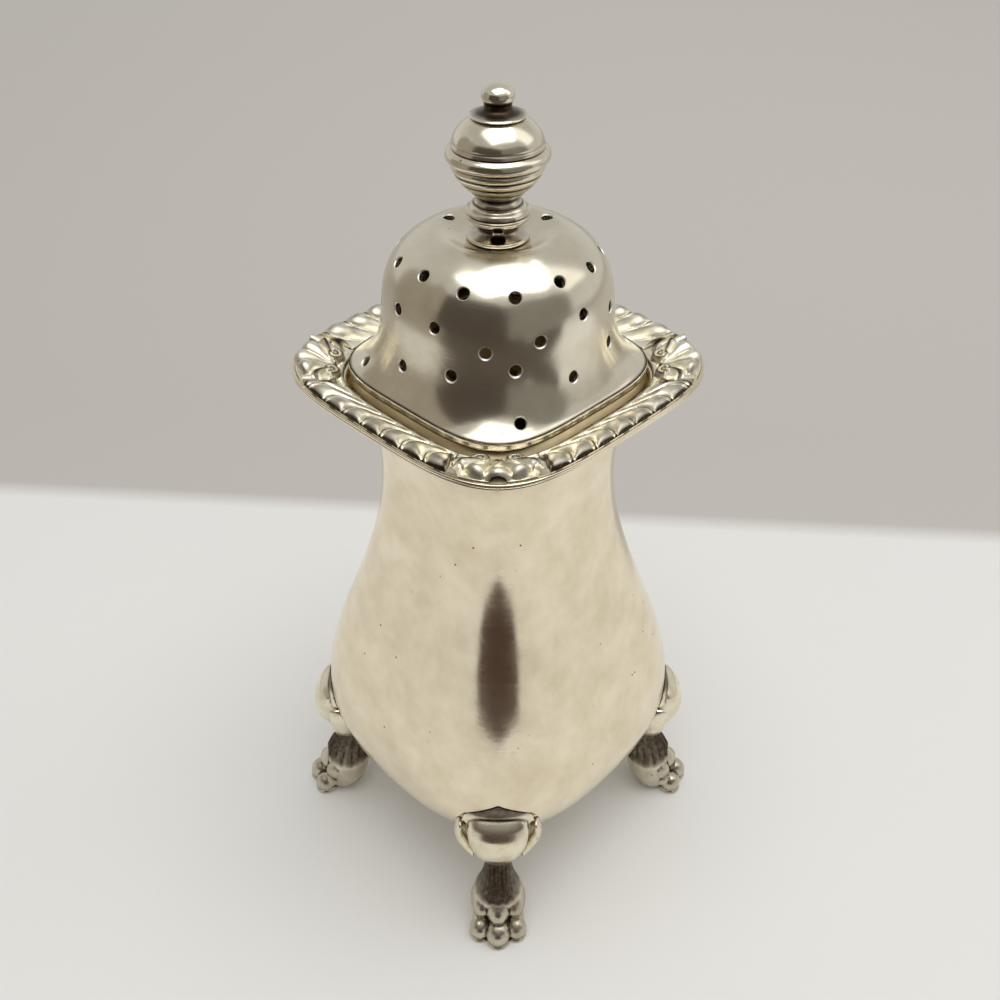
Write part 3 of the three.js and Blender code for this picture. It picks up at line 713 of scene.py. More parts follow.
def border_block(name, vase, border, span, grid, relief):
    """A block on the flange between two angles, with a flat underside and a carved top."""
    columns, rows = grid
    along = np.linspace(0, 1, columns)[:, None]
    across = ((1 - np.cos(np.linspace(0, np.pi, rows))) / 2)[None, :]
    angle = mix(span[0], span[1], along)
    inner = reach(vase.mouth_corner + border.solder, vase.mouth_squareness, angle)
    outer = reach(vase.rim_corner - border.margin, vase.rim_squareness, angle)
    radius = mix(inner, outer, across)
    x, y = radius * np.cos(angle), radius * np.sin(angle)
    along, across = np.broadcast_arrays(along, across)
    mouth = reach(vase.mouth_corner, vase.mouth_squareness, angle)
    edge = reach(vase.rim_corner, vase.rim_squareness, angle)
    base = vase.rim_z - vase.rim_dish * (edge - radius) / (edge - mouth)
    points = np.stack([x, y, base + relief(along, across, x, y)], -1).reshape(-1, 3)
    faces, loop = block_faces(columns, rows)
    under = points[loop]
    under[:, 2] = base.reshape(-1)[loop]
    mesh = mesh_of(name, np.concatenate([points, under]), faces)
    smoothed_below(mesh, 60)
    return mesh


def cast_ripple(x, y):
    """Slight unevenness of a casting, between -1 and 1."""
    return sum(np.sin(a * x + b * y + c) for a, b, c in RIPPLES) / len(RIPPLES)


def gadroon_relief(border, flow):
    """Crescent lobes, each with a narrow reed beside it, whose tails run thin along the mouth."""

    def relief(along, across, x, y):
        ahead = along if flow > 0 else 1 - along
        sweep = border.gadroon_sweep * np.sin(np.minimum(across / 0.75, 1.2) * TURN / 4)
        phase = np.mod(border.gadroons * ahead - sweep, 1)
        reed = REED_HEIGHT * arch(phase - REED_PLACE, REED_HALF)
        lobe = np.maximum(arch(phase - LOBE_HALF, LOBE_HALF), reed)
        head = arch(np.clip(across - 0.72, 0, 1), 0.26 + 0.02 * lobe)
        tail = mix(0.35, 1, smooth_step(across, 0.08, 0.6))
        inner_edge = 0.42 * arch(across - 0.07, 0.07)
        carved = np.maximum(mix(0.22, 1, lobe) * tail * head, inner_edge)
        return mix(border.edge, border.gadroon_height, carved) * (1 + 0.04 * cast_ripple(x, y))

    return relief


def strand(u, v, path, half_widths, heights):
    """Relief of a rounded strand that follows a path of points."""
    best = np.zeros_like(u)
    for (a, b), half_width, height in zip(path, half_widths, heights):
        best = np.maximum(best, height * arch(np.hypot(u - a, v - b), half_width))
    return best


def shell_relief(vase, border):
    """A ribbed fan that opens outwards from between two volutes, with a scroll leaf at each side."""
    focus = vase.rim_corner - border.margin - border.shell_radius
    turn, bend = np.linspace(0, 1, 40), np.linspace(0, 1, 30)
    swing = VOLUTE_START + VOLUTE_TURNS * TURN * turn
    radius = mix(0.25, 1.15, turn) * MM
    aside, ahead = VOLUTE_MIDDLE
    volute = np.stack([aside - radius * np.cos(swing), ahead - radius * np.sin(swing)], -1)
    leaf = np.stack([mix(3.3, 5.6, bend) * MM, (0.9 + 3.4 * bend**1.6) * MM], -1)
    inner_leaf = np.stack([mix(3.9, 6.2, bend) * MM, (0.1 + 1.6 * bend**2) * MM], -1)

    def relief(along, across, x, y):
        out = (x + y) / math.sqrt(2) - focus
        side = (y - x) / math.sqrt(2)
        angle = np.arctan2(side, out)
        rib = np.abs(np.cos(angle * np.pi * border.shell_ribs / (4 * border.shell_fan))) ** RIB_SHARPNESS
        share = np.hypot(out, side) / (border.shell_radius * mix(SCALLOP, 1.0, rib))
        in_fan = smooth_step(border.shell_fan - np.abs(angle), -0.05, 0.25)
        dish = mix(0.45, 1, smooth_step(share, 0.1, 0.75)) * arch(np.clip(share - 0.8, 0, 1), 0.22)
        u = np.abs(side)
        carved = np.maximum.reduce([
            in_fan * dish * mix(0.42, 1, rib),
            strand(u, out, volute, mix(0.3, 0.42, turn) * MM, mix(0.75, 0.7, turn)),
            strand(u, out, leaf, mix(0.9, 0.75, bend) * MM, mix(0.62, 0.5, bend)),
            strand(u, out, inner_leaf, mix(0.6, 0.45, bend) * MM, 0.45 + 0 * bend),
            0.25 * arch(across - 0.06, 0.06),
            0.14 * arch(across - 0.5, 0.5),
        ])
        return mix(border.edge, border.shell_height, carved) * (1 + 0.03 * cast_ripple(x, y))

    return relief


class SHAKER_OT_gadroon_border(bpy.types.Operator):
    """Makes the four lengths of gadroon on the rim"""

    bl_idname = "shaker.gadroon_border"
    bl_label = "Gadroon border"

    def execute(self, context):
        vase, border = chosen(context, "vase", "border")
        half = CORNER_ANGLE - border.shell_spread - border.mitre / vase.rim_corner
        for i, side in enumerate(SIDES):
            relief = gadroon_relief(border, -1 if i % 2 else 1)
            name = "gadroons_" + side
            mesh = border_block(name, vase, border, (-half, half), GADROON_GRID, relief)
            mark_hollows(mesh, **BORDER_SOIL)
            nodes, materials = ["gadroon_border_" + side], [metals(context)["rim_casting"]]
            show(name, mesh, "vase", nodes, materials, i * TURN / 4)
        return {"FINISHED"}


class SHAKER_OT_corner_shells(bpy.types.Operator):
    """Makes the four corner shells on the rim"""

    bl_idname = "shaker.corner_shells"
    bl_label = "Corner shells"

    def execute(self, context):
        vase, border = chosen(context, "vase", "border")
        span = (CORNER_ANGLE - border.shell_spread, CORNER_ANGLE + border.shell_spread)
        mesh = border_block("shell", vase, border, span, SHELL_GRID, shell_relief(vase, border))
        mark_hollows(mesh, **BORDER_SOIL)
        for i, corner in enumerate(CORNERS):
            nodes, materials = ["corner_shell_" + corner], [metals(context)["rim_casting"]]
            show("shell_" + corner, mesh, "vase", nodes, materials, i * TURN / 4)
        return {"FINISHED"}


# Paw feet


LEG = (  # share of the knee's height, millimetres out, half width in paws and in ankles, half depth
    (0.0, 0.4, 0.3, 0, 2.6),
    (0.03, 0.2, 0.38, 0, 3.0),
    (0.07, -0.2, 0.44, 0, 3.4),
    (0.13, -0.7, 0.47, 0, 3.7),
    (0.21, -1.0, 0.41, 0, 3.9),
    (0.3, -1.3, 0.27, 0, 3.8),
    (0.4, -2.1, 0, 0.4, 3.1),
    (0.48, -2.6, 0, 0.38, 2.4),
    (0.56, -2.4, 0, 0.38, 2.3),
)
SHIELD = (  # share of the knee's height, millimetres out, half width in knees, half depth
    (0.5, -2.0, 0.26, 2.5),
    (0.52, -1.9, 0.28, 2.75),
    (0.57, -1.3, 0.32, 3.1),
    (0.62, -0.8, 0.37, 3.4),
    (0.68, -0.3, 0.43, 3.6),
    (0.75, 0.0, 0.48, 3.6),
    (0.81, 0.0, 0.49, 3.3),
    (0.86, -0.3, 0.46, 2.7),
    (0.885, -0.6, 0.4, 2.0),
    (0.9, -0.8, 0.32, 1.2),
)
# The collar is a dark strip behind the knee's top, which carries painted shade for the gap between knee and
# vase.
SHADE_COLLAR = (  # as the shield's
    (0.84, -1.0, 0.58, 1.5),
    (0.88, -1.0, 0.54, 1.5),
    (0.92, -1.0, 0.42, 1.45),
    (0.96, -1.0, 0.24, 1.4),
    (0.985, -1.0, 0.06, 1.3),
)
TOE_LUMPS = (  # millimetres back from the tip, share of the spread, height, half sizes in toes, lean
    (0.0, 1.0, 1.75, (1.05, 1.0, 1.0), 0.0),
    (1.5, 0.94, 2.6, (1.1, 0.85, 0.85), 0.0),
    (2.5, 0.88, 4.9, (1.3, 0.98, 1.05), 0.5),
)
LEAF_LUMPS = 33
COLUMN_GRID = (90, 72)  # levels, and points round each
LUMP_GRID = (21, 32)
FLUTES = 16
FOOT_VOXEL = 0.17 * MM
# The paw's painted shade ends between these shares.
PAW_SHADE_END = (0.2, 0.26)  # shares of the belly's height between which the finish changes
INSTEP_START, INSTEP_END = (0.21, 0.27), (0.52, 0.55)
SHADE_COLLAR_START = (0.955, 0.975)


def column(name, vase, sections, height, squareness, flutes=0.0):
    """An upright form along the corner, from rows of level, distance out, half width and half depth."""
    levels, *measures = zip(*sections)
    at = np.linspace(levels[0], levels[-1], COLUMN_GRID[0])
    centre, wide, deep = (eased(at, levels, values)[:, None] for values in measures)
    angle = np.linspace(0, TURN, COLUMN_GRID[1], endpoint=False)[None, :]
    power = 2 / squareness
    cos, sin = np.cos(angle), np.sin(angle)
    flute = 1 + flutes * np.cos(FLUTES * angle) * smooth_step(at, 0.2, 0.3)[:, None]
    x = vase.belly_corner + (centre + flute * deep * np.sign(cos) * np.abs(cos) ** power) * MM
    y = flute * wide * np.sign(sin) * np.abs(sin) ** power * MM
    z = at[:, None] * height + 0 * angle
    return lofted(name, np.stack([x, y + 0 * x, z], -1))


def add_lump(form, vase, place, half_sizes, lean=0.0):
    """Adds a rounded lump: out from the belly's corner, across and up, in millimetres."""
    polar = np.linspace(0, TURN / 2, LUMP_GRID[0])[1:-1, None]
    angle = np.linspace(0, TURN, LUMP_GRID[1], endpoint=False)[None, :]
    around = np.sin(polar)
    ball = np.stack([around * np.cos(angle), around * np.sin(angle), -np.cos(polar) + 0 * angle], -1)
    x, y, z = np.moveaxis(ball * half_sizes, -1, 0)
    out, across, up = place
    points = np.stack([
        vase.belly_corner + (out + x * math.cos(lean) + z * math.sin(lean)) * MM,
        (across + y) * MM,
        (up - x * math.sin(lean) + z * math.cos(lean)) * MM,
    ], -1)
    lump = lofted("lump", points)
    form.from_mesh(lump)
    bpy.data.meshes.remove(lump)


def add_toes(form, vase, foot):
    """Adds three toes, each with a tip, a joint, a knuckle and a sole."""
    for side in (-1, 0, 1):
        toe = foot.toe_width / MM / 2
        size = toe * (1.06 - 0.15 * abs(side))
        tip = foot.paw_reach / MM - 2.1 - 1.0 * abs(side)
        apart = side * (0.5 * foot.paw_width / MM - toe - 0.05)
        for back, spread, height, half_sizes, lean in TOE_LUMPS:
            place = (tip - back, spread * apart, height)
            add_lump(form, vase, place, [half * size for half in half_sizes], lean)
        add_lump(form, vase, (tip + 0.05, apart, 0.4), (1.1 * size, 1.04 * size, 0.5))


def add_side_leaves(form, vase, shield, top):
    """Adds the leaf at each side of the knee's shield, thickest in its middle."""
    levels, _, half_widths, _ = zip(*shield)
    for share in np.linspace(0, 1, LEAF_LUMPS):
        level = mix(0.55, 0.815, share)
        size = mix(0.35, 1.2, math.sin(math.pi * mix(0.04, 0.93, share)) ** 0.8)
        across = eased(level, levels, half_widths) + 0.75 + 0.6 * size
        for side in (-1, 1):
            place = (-1.9 + 0.5 * share, side * across, level * top)
            add_lump(form, vase, place, (1.7, 0.8 * size, 0.9 * size))


def paw_form(vase, foot):
    """The whole foot before it is fitted to the vase, as one mesh of overlapping forms."""
    knee_z = vase.belly_z + foot.knee_rise
    knee, ankle, paw = (w / MM for w in (foot.knee_width, foot.ankle_width, foot.paw_width))
    leg = [(level, out, paws * paw + ankles * ankle, deep) for level, out, paws, ankles, deep in LEG]
    shield, collar = ([(level, out, knees * knee, deep) for level, out, knees, deep in rows]
                      for rows in (SHIELD, SHADE_COLLAR))
    form = bmesh.new()
    for name, sections, squareness, flutes in (
            ("leg", leg, 2.1, 0.07), ("knee", shield, 2.4, 0.0), ("collar", collar, 2.2, 0.0)):
        mesh = column(name, vase, sections, knee_z, squareness, flutes)
        form.from_mesh(mesh)
        bpy.data.meshes.remove(mesh)
    add_toes(form, vase, foot)
    add_side_leaves(form, vase, shield, knee_z / MM)
    return mesh_from("foot", form)


def seat_form(vase, gap):
    """The vase's outer skin, a gap larger, with a corner turned to face X."""
    seat = [(z, corner + gap, squareness) for z, corner, squareness in outside_rows(vase)[::3]]
    x, y, z = np.moveaxis(cushion([(seat[0][0] - gap, *seat[0][1:]), *seat], SEAT_SIDES), -1, 0)
    return lofted("seat", np.stack([(x + y) / math.sqrt(2), (y - x) / math.sqrt(2), z], -1))


def below_table():
    """A block whose top is the table."""
    block = bmesh.new()
    bmesh.ops.create_cube(block, size=1.0, matrix=Matrix.Translation((0, 0, -0.5)))
    return mesh_from("below_table", block)


class SHAKER_OT_paw_feet(bpy.types.Operator):
    """Makes the four paw feet and fits them to the vase"""

    bl_idname = "shaker.paw_feet"
    bl_label = "Paw feet"

    def execute(self, context):
        vase, foot, border = chosen(context, "vase", "foot", "border")
        mesh = settled(
            "foot", paw_form(vase, foot),
            ("REMESH", {"mode": "VOXEL", "voxel_size": FOOT_VOXEL}),
            ("SMOOTH", {"factor": 0.5, "iterations": 2}),
        )
        for tool in (seat_form(vase, 0.5 * border.solder), below_table()):
            mesh = cut("foot", mesh, tool, "MANIFOLD")
        smoothed_below(mesh, 50)
        places = places_of(mesh)
        up = places[:, 2] / vase.belly_z
        aside = smooth_step(np.abs(places[:, 1]) / foot.paw_width, 0.1, 0.45)
        instep = smooth_step(up, *INSTEP_START) * (1 - smooth_step(up, *INSTEP_END)) * (1 - 0.3 * aside)
        # Painted shade: the paw is darkened, standing in for the dark reflections on the toes.
        paw = 0.35 * (1 - smooth_step(up, *PAW_SHADE_END))
        # Painted shade on the collar above the knee, for the shadow in the gap between knee and vase.
        collar = 0.85 * smooth_step(up, *SHADE_COLLAR_START)
        mark_hollows(mesh, paw, instep, collar, rounds=30, depth=0.08 * MM, clear=0)
        mesh.transform(Matrix.Rotation(CORNER_ANGLE, 4, "Z"))
        mesh.materials.clear()
        for i, corner in enumerate(CORNERS):
            nodes, materials = ["foot_" + corner], [metals(context)["worn_casting"]]
            show("paw_" + corner, mesh, "vase", nodes, materials, i * TURN / 4)
        return {"FINISHED"}


# Lid


def lid_levels(vase, lid):
    """Heights of the bead's underside, the dome's foot and the crown under the finial."""
    bead_z = vase.rim_z - lid.bead_sink
    dome_z = bead_z + lid.bead_height
    return bead_z, dome_z, dome_z + lid.dome_height - lid.crown_dip


def dome_rows(vase, lid, finial, heights, inset):
    """The dome's sections at heights above the bead, thinned by a wall."""
    heights = np.asarray(heights, float)
    dome_z = lid_levels(vase, lid)[1]
    foot = vase.mouth_corner - lid.mouth_gap - lid.bead_step
    flare = (foot - lid.shoulder) * np.exp(-((heights / lid.flare_length) ** lid.flare_bend))
    span = lid.dome_height - inset - lid.shoulder_height
    share = np.clip((heights - lid.shoulder_height) / span, 0, 1)
    crown = (1 - share**lid.fullness) ** (1 / lid.fullness)
    corner = (lid.shoulder + flare - inset) * crown
    dip = 1 - smooth_step(corner, finial.foot, lid.crown_dip_radius)
    squareness = 2 + lid.wall_squareness * np.maximum(0, 1 - heights / lid.square_height)
    foot_squareness = lid.bead_squareness - 2 - lid.wall_squareness
    squareness = squareness + foot_squareness * np.exp(-heights / lid.square_length)
    return list(zip(dome_z + heights - lid.crown_dip * dip, corner, squareness))


DOME_STEPS = (40, 44)  # sections below and above the shoulder
DOME_INSIDE_STEPS = (16, 20)
DENTS = (  # turn from the front corner, height above the bead, width and height of the dent, depth
    (-0.62, 15.5, 0.10, 2.4, 0.12),
    (-0.30, 18.4, 0.16, 0.9, 0.07),
    (0.10, 17.0, 0.07, 1.6, 0.05),
    (0.42, 17.6, 0.10, 1.6, 0.10),
    (0.85, 14.5, 0.12, 2.2, 0.08),
    (-1.2, 12.0, 0.16, 3.0, 0.08),
    (-0.75, 4.5, 0.14, 2.5, 0.07),
    (0.70, 5.5, 0.12, 2.5, 0.06),
    (2.3, 13.0, 0.2, 3.0, 0.10),
)


def dented(grid, dome_z):
    """The dome's points with shallow dents of wear."""
    made = grid.copy()
    angle = np.arctan2(grid[..., 1], grid[..., 0]) + CORNER_ANGLE
    height = (grid[..., 2] - dome_z) / MM
    radius = np.hypot(grid[..., 0], grid[..., 1])
    for turn, level, width, tall, depth in DENTS:
        aside = (np.mod(angle - turn + TURN / 2, TURN) - TURN / 2) / width
        sunk = depth * MM * np.exp(-(aside**2) - ((height - level) / tall) ** 2)
        made[..., :2] -= grid[..., :2] * (sunk / radius)[..., None]
        made[..., 2] -= 0.5 * sunk
    return made


def dome_heights(lid, inset, steps, opening):
    """Heights for the dome's rows, from its foot up to the opening for the spigot."""
    below, above = steps
    span = lid.dome_height - inset - lid.shoulder_height
    low = lid.shoulder_height * np.linspace(0, 1, below) ** 1.4
    ratio = 1 - (opening / (lid.shoulder - inset)) ** lid.fullness
    last = math.asin(ratio ** (1 / lid.fullness))
    return np.concatenate([low, lid.shoulder_height + span * np.sin(np.linspace(0, last, above)[1:])])


def dome_point(vase, lid, finial, height, angle):
    """The point of the dome's outside at a height above the bead and an angle."""
    z, corner, squareness = dome_rows(vase, lid, finial, [height], 0)[0]
    radius = reach(corner, squareness, angle)
    return Vector((radius * math.cos(angle), radius * math.sin(angle), z))


HOLE_RINGS = (  # height above the bead, count, turn in degrees from the front corner, lift at the corners
    (16.4, 13, 9, -0.4),
    (11.0, 14, 20, -1.4),
    (6.0, 12, 8, 1.6),
    (1.3, 4, 9, 0.0),
)
CROWN_RING = 7.4 * MM
FOOT_HOLE = 3.1 * MM
DRILL_SIDES = 28
ON_SURFACE = 0.002 * MM
SAME_WAY = 0.94


def hole_places(vase, lid, finial):
    """The outside end and the direction of every sprinkling hole, but the one in the finial's foot."""
    found = []
    for height, total, turn, lift in HOLE_RINGS:
        for i in range(total):
            degrees = turn + i * 360 / total
            angle = math.radians(degrees) - CORNER_ANGLE
            level = (height + lift * math.cos(math.radians(4 * degrees))) * MM
            place = dome_point(vase, lid, finial, level, angle)
            up = dome_point(vase, lid, finial, level + 0.01 * MM, angle) - place
            round_ = dome_point(vase, lid, finial, level, angle + 0.001) - place
            found.append((place, round_.cross(up).normalized()))
    z, corner, _ = zip(*dome_rows(vase, lid, finial, dome_heights(lid, 0, DOME_STEPS, finial.spigot), 0))
    crown = float(np.interp(-CROWN_RING, -np.array(corner), z))
    return found + [(outwards(CROWN_RING, crown, i * TURN / 3), UP) for i in (1, 2)]


def add_drill(form, place, direction, radius, lip, depth):
    """Adds a drill to a mesh: a straight shank that widens at the surface by a lip."""
    matrix = Matrix.Translation(place) @ direction.to_track_quat("Z", "Y").to_matrix().to_4x4()
    angles = [k * TURN / DRILL_SIDES for k in range(DRILL_SIDES)]
    rings = []
    for z, r in ((-depth, radius), (-lip, radius), (0.1 * lip, radius + lip), (8 * lip, radius + 2.5 * lip)):
        rings.append([form.verts.new(matrix @ Vector((r * math.cos(a), r * math.sin(a), z))) for a in angles])
    for low, high in zip(rings, rings[1:]):
        for k in range(DRILL_SIDES):
            m = (k + 1) % DRILL_SIDES
            form.faces.new((low[k], low[m], high[m], high[k]))
    form.faces.new(rings[0][::-1])
    form.faces.new(rings[-1])


def keep_reflections(mesh, whole, rim):
    """Takes the whole surface's smooth normals for the pierced one, and gives the holes' rims a painted
    highlight.
    """
    tree = BVHTree.FromPolygons([v.co for v in whole.vertices], [p.vertices[:] for p in whole.polygons])
    smooth = [v.normal.copy() for v in whole.vertices]
    corners = [[whole.vertices[i].co for i in p.vertices] for p in whole.polygons]
    taken = []
    for vertex in mesh.vertices:
        place, _, index, distance = tree.find_nearest(vertex.co)
        if distance > ON_SURFACE:
            taken.append(None)
            continue
        normal = Vector((0, 0, 0))
        for share, i in zip(poly_3d_calc(corners[index], place), whole.polygons[index].vertices):
            normal += share * smooth[i]
        taken.append(normal.normalized())
    normals = []
    for face in mesh.polygons:
        kept = [taken[i] is not None and taken[i].dot(face.normal) > SAME_WAY for i in face.vertices]
        normals += [taken[i] if near else face.normal.copy() for i, near in zip(face.vertices, kept)]
        # The faces round a hole's edge get the painted highlight material.
        if not any(kept) and tree.find_nearest(face.center)[3] < rim:
            face.material_index = 1
    mesh.normals_split_custom_set(normals)


class SHAKER_OT_lid_dome(bpy.types.Operator):
    """Makes the pierced dome of the lid"""

    bl_idname = "shaker.lid_dome"
    bl_label = "Pierced dome"

    def execute(self, context):
        vase, lid, finial = chosen(context, "vase", "lid", "finial")
        _, dome_z, crown = lid_levels(vase, lid)
        opening = finial.spigot + 0.3 * MM
        outside = dome_rows(vase, lid, finial, dome_heights(lid, 0, DOME_STEPS, opening), 0)
        inner_heights = dome_heights(lid, lid.wall, DOME_INSIDE_STEPS, opening)
        inside = dome_rows(vase, lid, finial, inner_heights, lid.wall)
        grid = cushion(outside + inside[::-1], SMOOTH_SIDES)
        whole = ring_shell("dome_whole", dented(grid, dome_z))
        drills = bmesh.new()
        for place, direction in hole_places(vase, lid, finial):
            add_drill(drills, place, direction, lid.hole / 2, lid.hole_lip, 3 * lid.wall)
        foot_hole = outwards(FOOT_HOLE, crown) + Vector((0, 0, MM))
        add_drill(drills, foot_hole, UP, lid.hole / 2, 0.01 * MM, 4 * lid.wall)
        mesh = cut("dome", whole.copy(), mesh_from("drills", drills))
        keep_reflections(mesh, whole, 0.9 * lid.hole_lip)
        bpy.data.meshes.remove(whole)
        mark(mesh, 0.9 * (1 - smooth_step(places_of(mesh)[:, 2], dome_z, dome_z + 0.12 * MM)))
        materials = [metals(context)[name] for name in ("dome_plate", "hole_rim")]
        show("dome", mesh, "lid", ["lid_dome"], materials)
        return {"FINISHED"}


SKIRT_END = ((0, 1.0), (0.1, 0.9), (0.6, 0.5), (1.0, 0.15))  # millimetres up from its end, and in
SKIRT_NECK = ((-1.7, 0), (-1.5, 0), (-1.4, 0.08), (-0.1, 1.45), (0, 1.55))  # up from its neck, and in
SKIRT_INSIDE = 1.6
BEAD_OVALS = 46


def bead_grid(vase, lid, skirt):
    """Rings of a wire that is squeezed into ovals, with a flat inside where the skirt begins."""
    bead_z, dome_z, _ = lid_levels(vase, lid)
    round_ = np.arange(BEAD_SIDES)[None, :] * TURN / BEAD_SIDES
    angle = np.linspace(-TURN / 4, TURN / 4, 15)[:, None]
    warp = round_ + 0.03 * np.sin(5 * round_) + 0.02 * np.sin(11 * round_ + 1)
    oval = np.abs(np.sin(BEAD_OVALS / 2 * warp)) ** 0.7 * (0.8 + 0.2 * np.sin(7 * round_ + 2))
    swell = (mix(-0.09, 0.0, oval) - 0.04 * np.cos(angle * 4)) * MM * np.cos(angle)
    step = lid.bead_step * (1 - np.cos(angle))
    corner = vase.mouth_corner - lid.mouth_gap - step + swell * np.cos(angle)
    z = mix(bead_z, dome_z, (1 + np.sin(angle)) / 2) + 0.6 * swell * np.sin(angle)
    corner = np.concatenate([corner, skirt + np.zeros((2, BEAD_SIDES))])
    z = np.concatenate([z, np.array([[dome_z], [bead_z]]) + 0 * round_])
    radius = reach(corner, lid.bead_squareness, round_)
    return np.stack([radius * np.cos(round_), radius * np.sin(round_), z], -1)


def skirt_rows(vase, lid, skirt):
    """The skirt's sections: a curled end, a plain band, a cone under the bead and a straight inside."""
    bead_z, top, _ = lid_levels(vase, lid)
    end, neck = bead_z - lid.skirt_depth, bead_z - 0.05 * MM
    outline = [(end + up * MM, inset * MM) for up, inset in SKIRT_END]
    outline += [(neck + up * MM, inset * MM) for up, inset in SKIRT_NECK]
    inside = SKIRT_INSIDE * MM + lid.skirt_wall
    outline += [(top, SKIRT_NECK[-1][1] * MM), (top, inside), (end, inside)]
    return [(z, skirt - inset, lid.bead_squareness) for z, inset in outline]


class SHAKER_OT_lid_bead(bpy.types.Operator):
    """Makes the beaded wire and the skirt of the lid"""

    bl_idname = "shaker.lid_bead"
    bl_label = "Bead and skirt"

    def execute(self, context):
        vase, lid = chosen(context, "vase", "lid")
        finishes = metals(context)
        skirt = vase.mouth_corner - lid.mouth_gap - lid.skirt_step
        mesh = ring_shell("bead", bead_grid(vase, lid, skirt))
        mark_hollows(mesh, rounds=12, depth=0.06 * MM, clear=0.2)
        show("bead", mesh, "lid", ["lid_bead"], [finishes["bead_plate"]])
        mesh = ring_shell("skirt", cushion(skirt_rows(vase, lid, skirt), SMOOTH_SIDES))
        show("skirt", mesh, "lid", ["lid_skirt"], [finishes["skirt_gilt"]])
        return {"FINISHED"}


# Finial


KNOP_TURNINGS = (  # height in knops, share of the way from waist to knop, grooves and millimetres off
    (0.15, 0.35, 0, 0), (0.24, 0.75, 0, 0), (0.33, 1, 0, 0.08), (0.38, 1, 0, 0), (0.43, 1, 0, 0.05),
    (0.475, 1, 1.6, 0), (0.52, 1, 0.3, 0), (0.58, 1, 0.4, 0), (0.64, 1, 2.4, 0), (0.68, 0.66, 0, 0),
    (0.76, 0.5, 0, 0), (0.78, 0.34, 0, 0), (0.86, 0.3, 0, 0), (0.95, 0.12, 0, 0),
)
CAP_TURNINGS = (  # millimetres up, share of the way from neck to cap, grooves and millimetres off
    (0.1, 1, 0, 0.1), (0.14, 1, 2.6, 0), (0.24, 1, 2.6, 0), (0.3, 1, 0, 0.05), (0.38, 1, 0, 0),
    (0.5, 1, 0, 0.06), (0.6, 0.72, 0, 0), (0.74, 0.42, 0, 0), (0.95, 0.16, 0, 0), (1.2, 0, 0, 0),
)
GLOBE_REEDS = 4
BORE, BORE_EDGE, BORE_TOP = 0.6, (0.61, 0.66), 1.6 * MM  # the first two in sprinkling holes
BORE_LEAN = 0.3


def turned(turnings, base, unit, narrow, wide, groove):
    """Radii and heights of turned steps above a base."""
    return [(mix(narrow, wide, share) - grooves * groove - off * MM, base + up * unit)
            for up, share, grooves, off in turnings]


def finial_levels(finial):
    """Heights above the crown of the knop, the globe, its ridge, its upper part, the cap and the neck."""
    return np.cumsum([
        finial.foot_edge + finial.foot_rise, finial.knop_height, finial.globe_below, finial.ridge_height,
        finial.globe_above, finial.cap_height,
    ]).tolist()


def finial_outline(finial):
    """Radii and heights above the crown, from the spigot's end up to the ball's top."""
    knop, globe, ridge, upper, cap, neck = finial_levels(finial)
    ball = neck + finial.ball_height * math.sqrt(1 - (finial.neck / finial.ball) ** 2)
    waist, deep = finial.waist, finial.groove
    points = [(finial.spigot, -finial.spigot_length), (finial.spigot, 0), (finial.foot - 0.1 * MM, 0),
              (finial.foot, 0.08 * MM), (finial.foot, finial.foot_edge - 0.1 * MM),
              (finial.foot - 0.1 * MM, finial.foot_edge)]
    for share in np.linspace(0, 1, 9):
        points.append((mix(finial.foot - 0.3 * MM, waist, math.sin(share * TURN / 4) ** 0.8),
                       mix(finial.foot_edge, knop, share)))
    points.append((waist + 0.1 * MM, knop + 0.05 * MM))
    points += turned(KNOP_TURNINGS, knop, finial.knop_height, waist, finial.knop, deep)
    points.append((waist, globe))
    for i in range(GLOBE_REEDS):
        low, high = i / GLOBE_REEDS, (i + 1) / GLOBE_REEDS
        for part in (0.12, 0.3, 0.5, 0.7, 0.86):
            share = mix(low, high, part)
            round_up = 0.26 * MM * math.sin(math.pi * part) ** 0.5
            points.append((mix(waist, finial.globe - deep, math.sin(share * TURN / 4)) + round_up,
                           mix(globe, ridge, share)))
        radius = mix(waist, finial.globe - deep, math.sin(high * TURN / 4))
        points.append((radius - 0.9 * deep, mix(globe, ridge, high)))
    for share in np.linspace(0, 1, 9):
        swell = (finial.ridge - finial.globe) * math.sin(math.pi * share) ** 0.55
        points.append((finial.globe + swell - 0.05 * MM, mix(ridge + 0.06 * MM, upper - 0.1 * MM, share)))
    points.append((finial.globe - 1.5 * deep, upper))
    for i, share in enumerate(np.linspace(0, 1, 40)):
        swing = share * 0.86 * TURN / 4
        dent = 0.5 * deep * (0.1 < share < 0.16) + 0.012 * MM * (i % 2)
        points.append((mix(finial.cap, finial.globe - 0.1 * MM, math.cos(swing) ** 1.8) - dent,
                       mix(upper + 0.1 * MM, cap, math.sin(swing))))
    points += turned(CAP_TURNINGS, cap, MM, finial.neck, finial.cap, deep)
    points.append((finial.neck, neck))
    start = math.asin((neck - ball) / finial.ball_height)
    for swing in np.linspace(start, TURN / 4, 20)[1:-1]:
        points.append((finial.ball * math.cos(swing), ball + finial.ball_height * math.sin(swing)))
    points.append((0.02 * MM, ball + finial.ball_height))
    return points


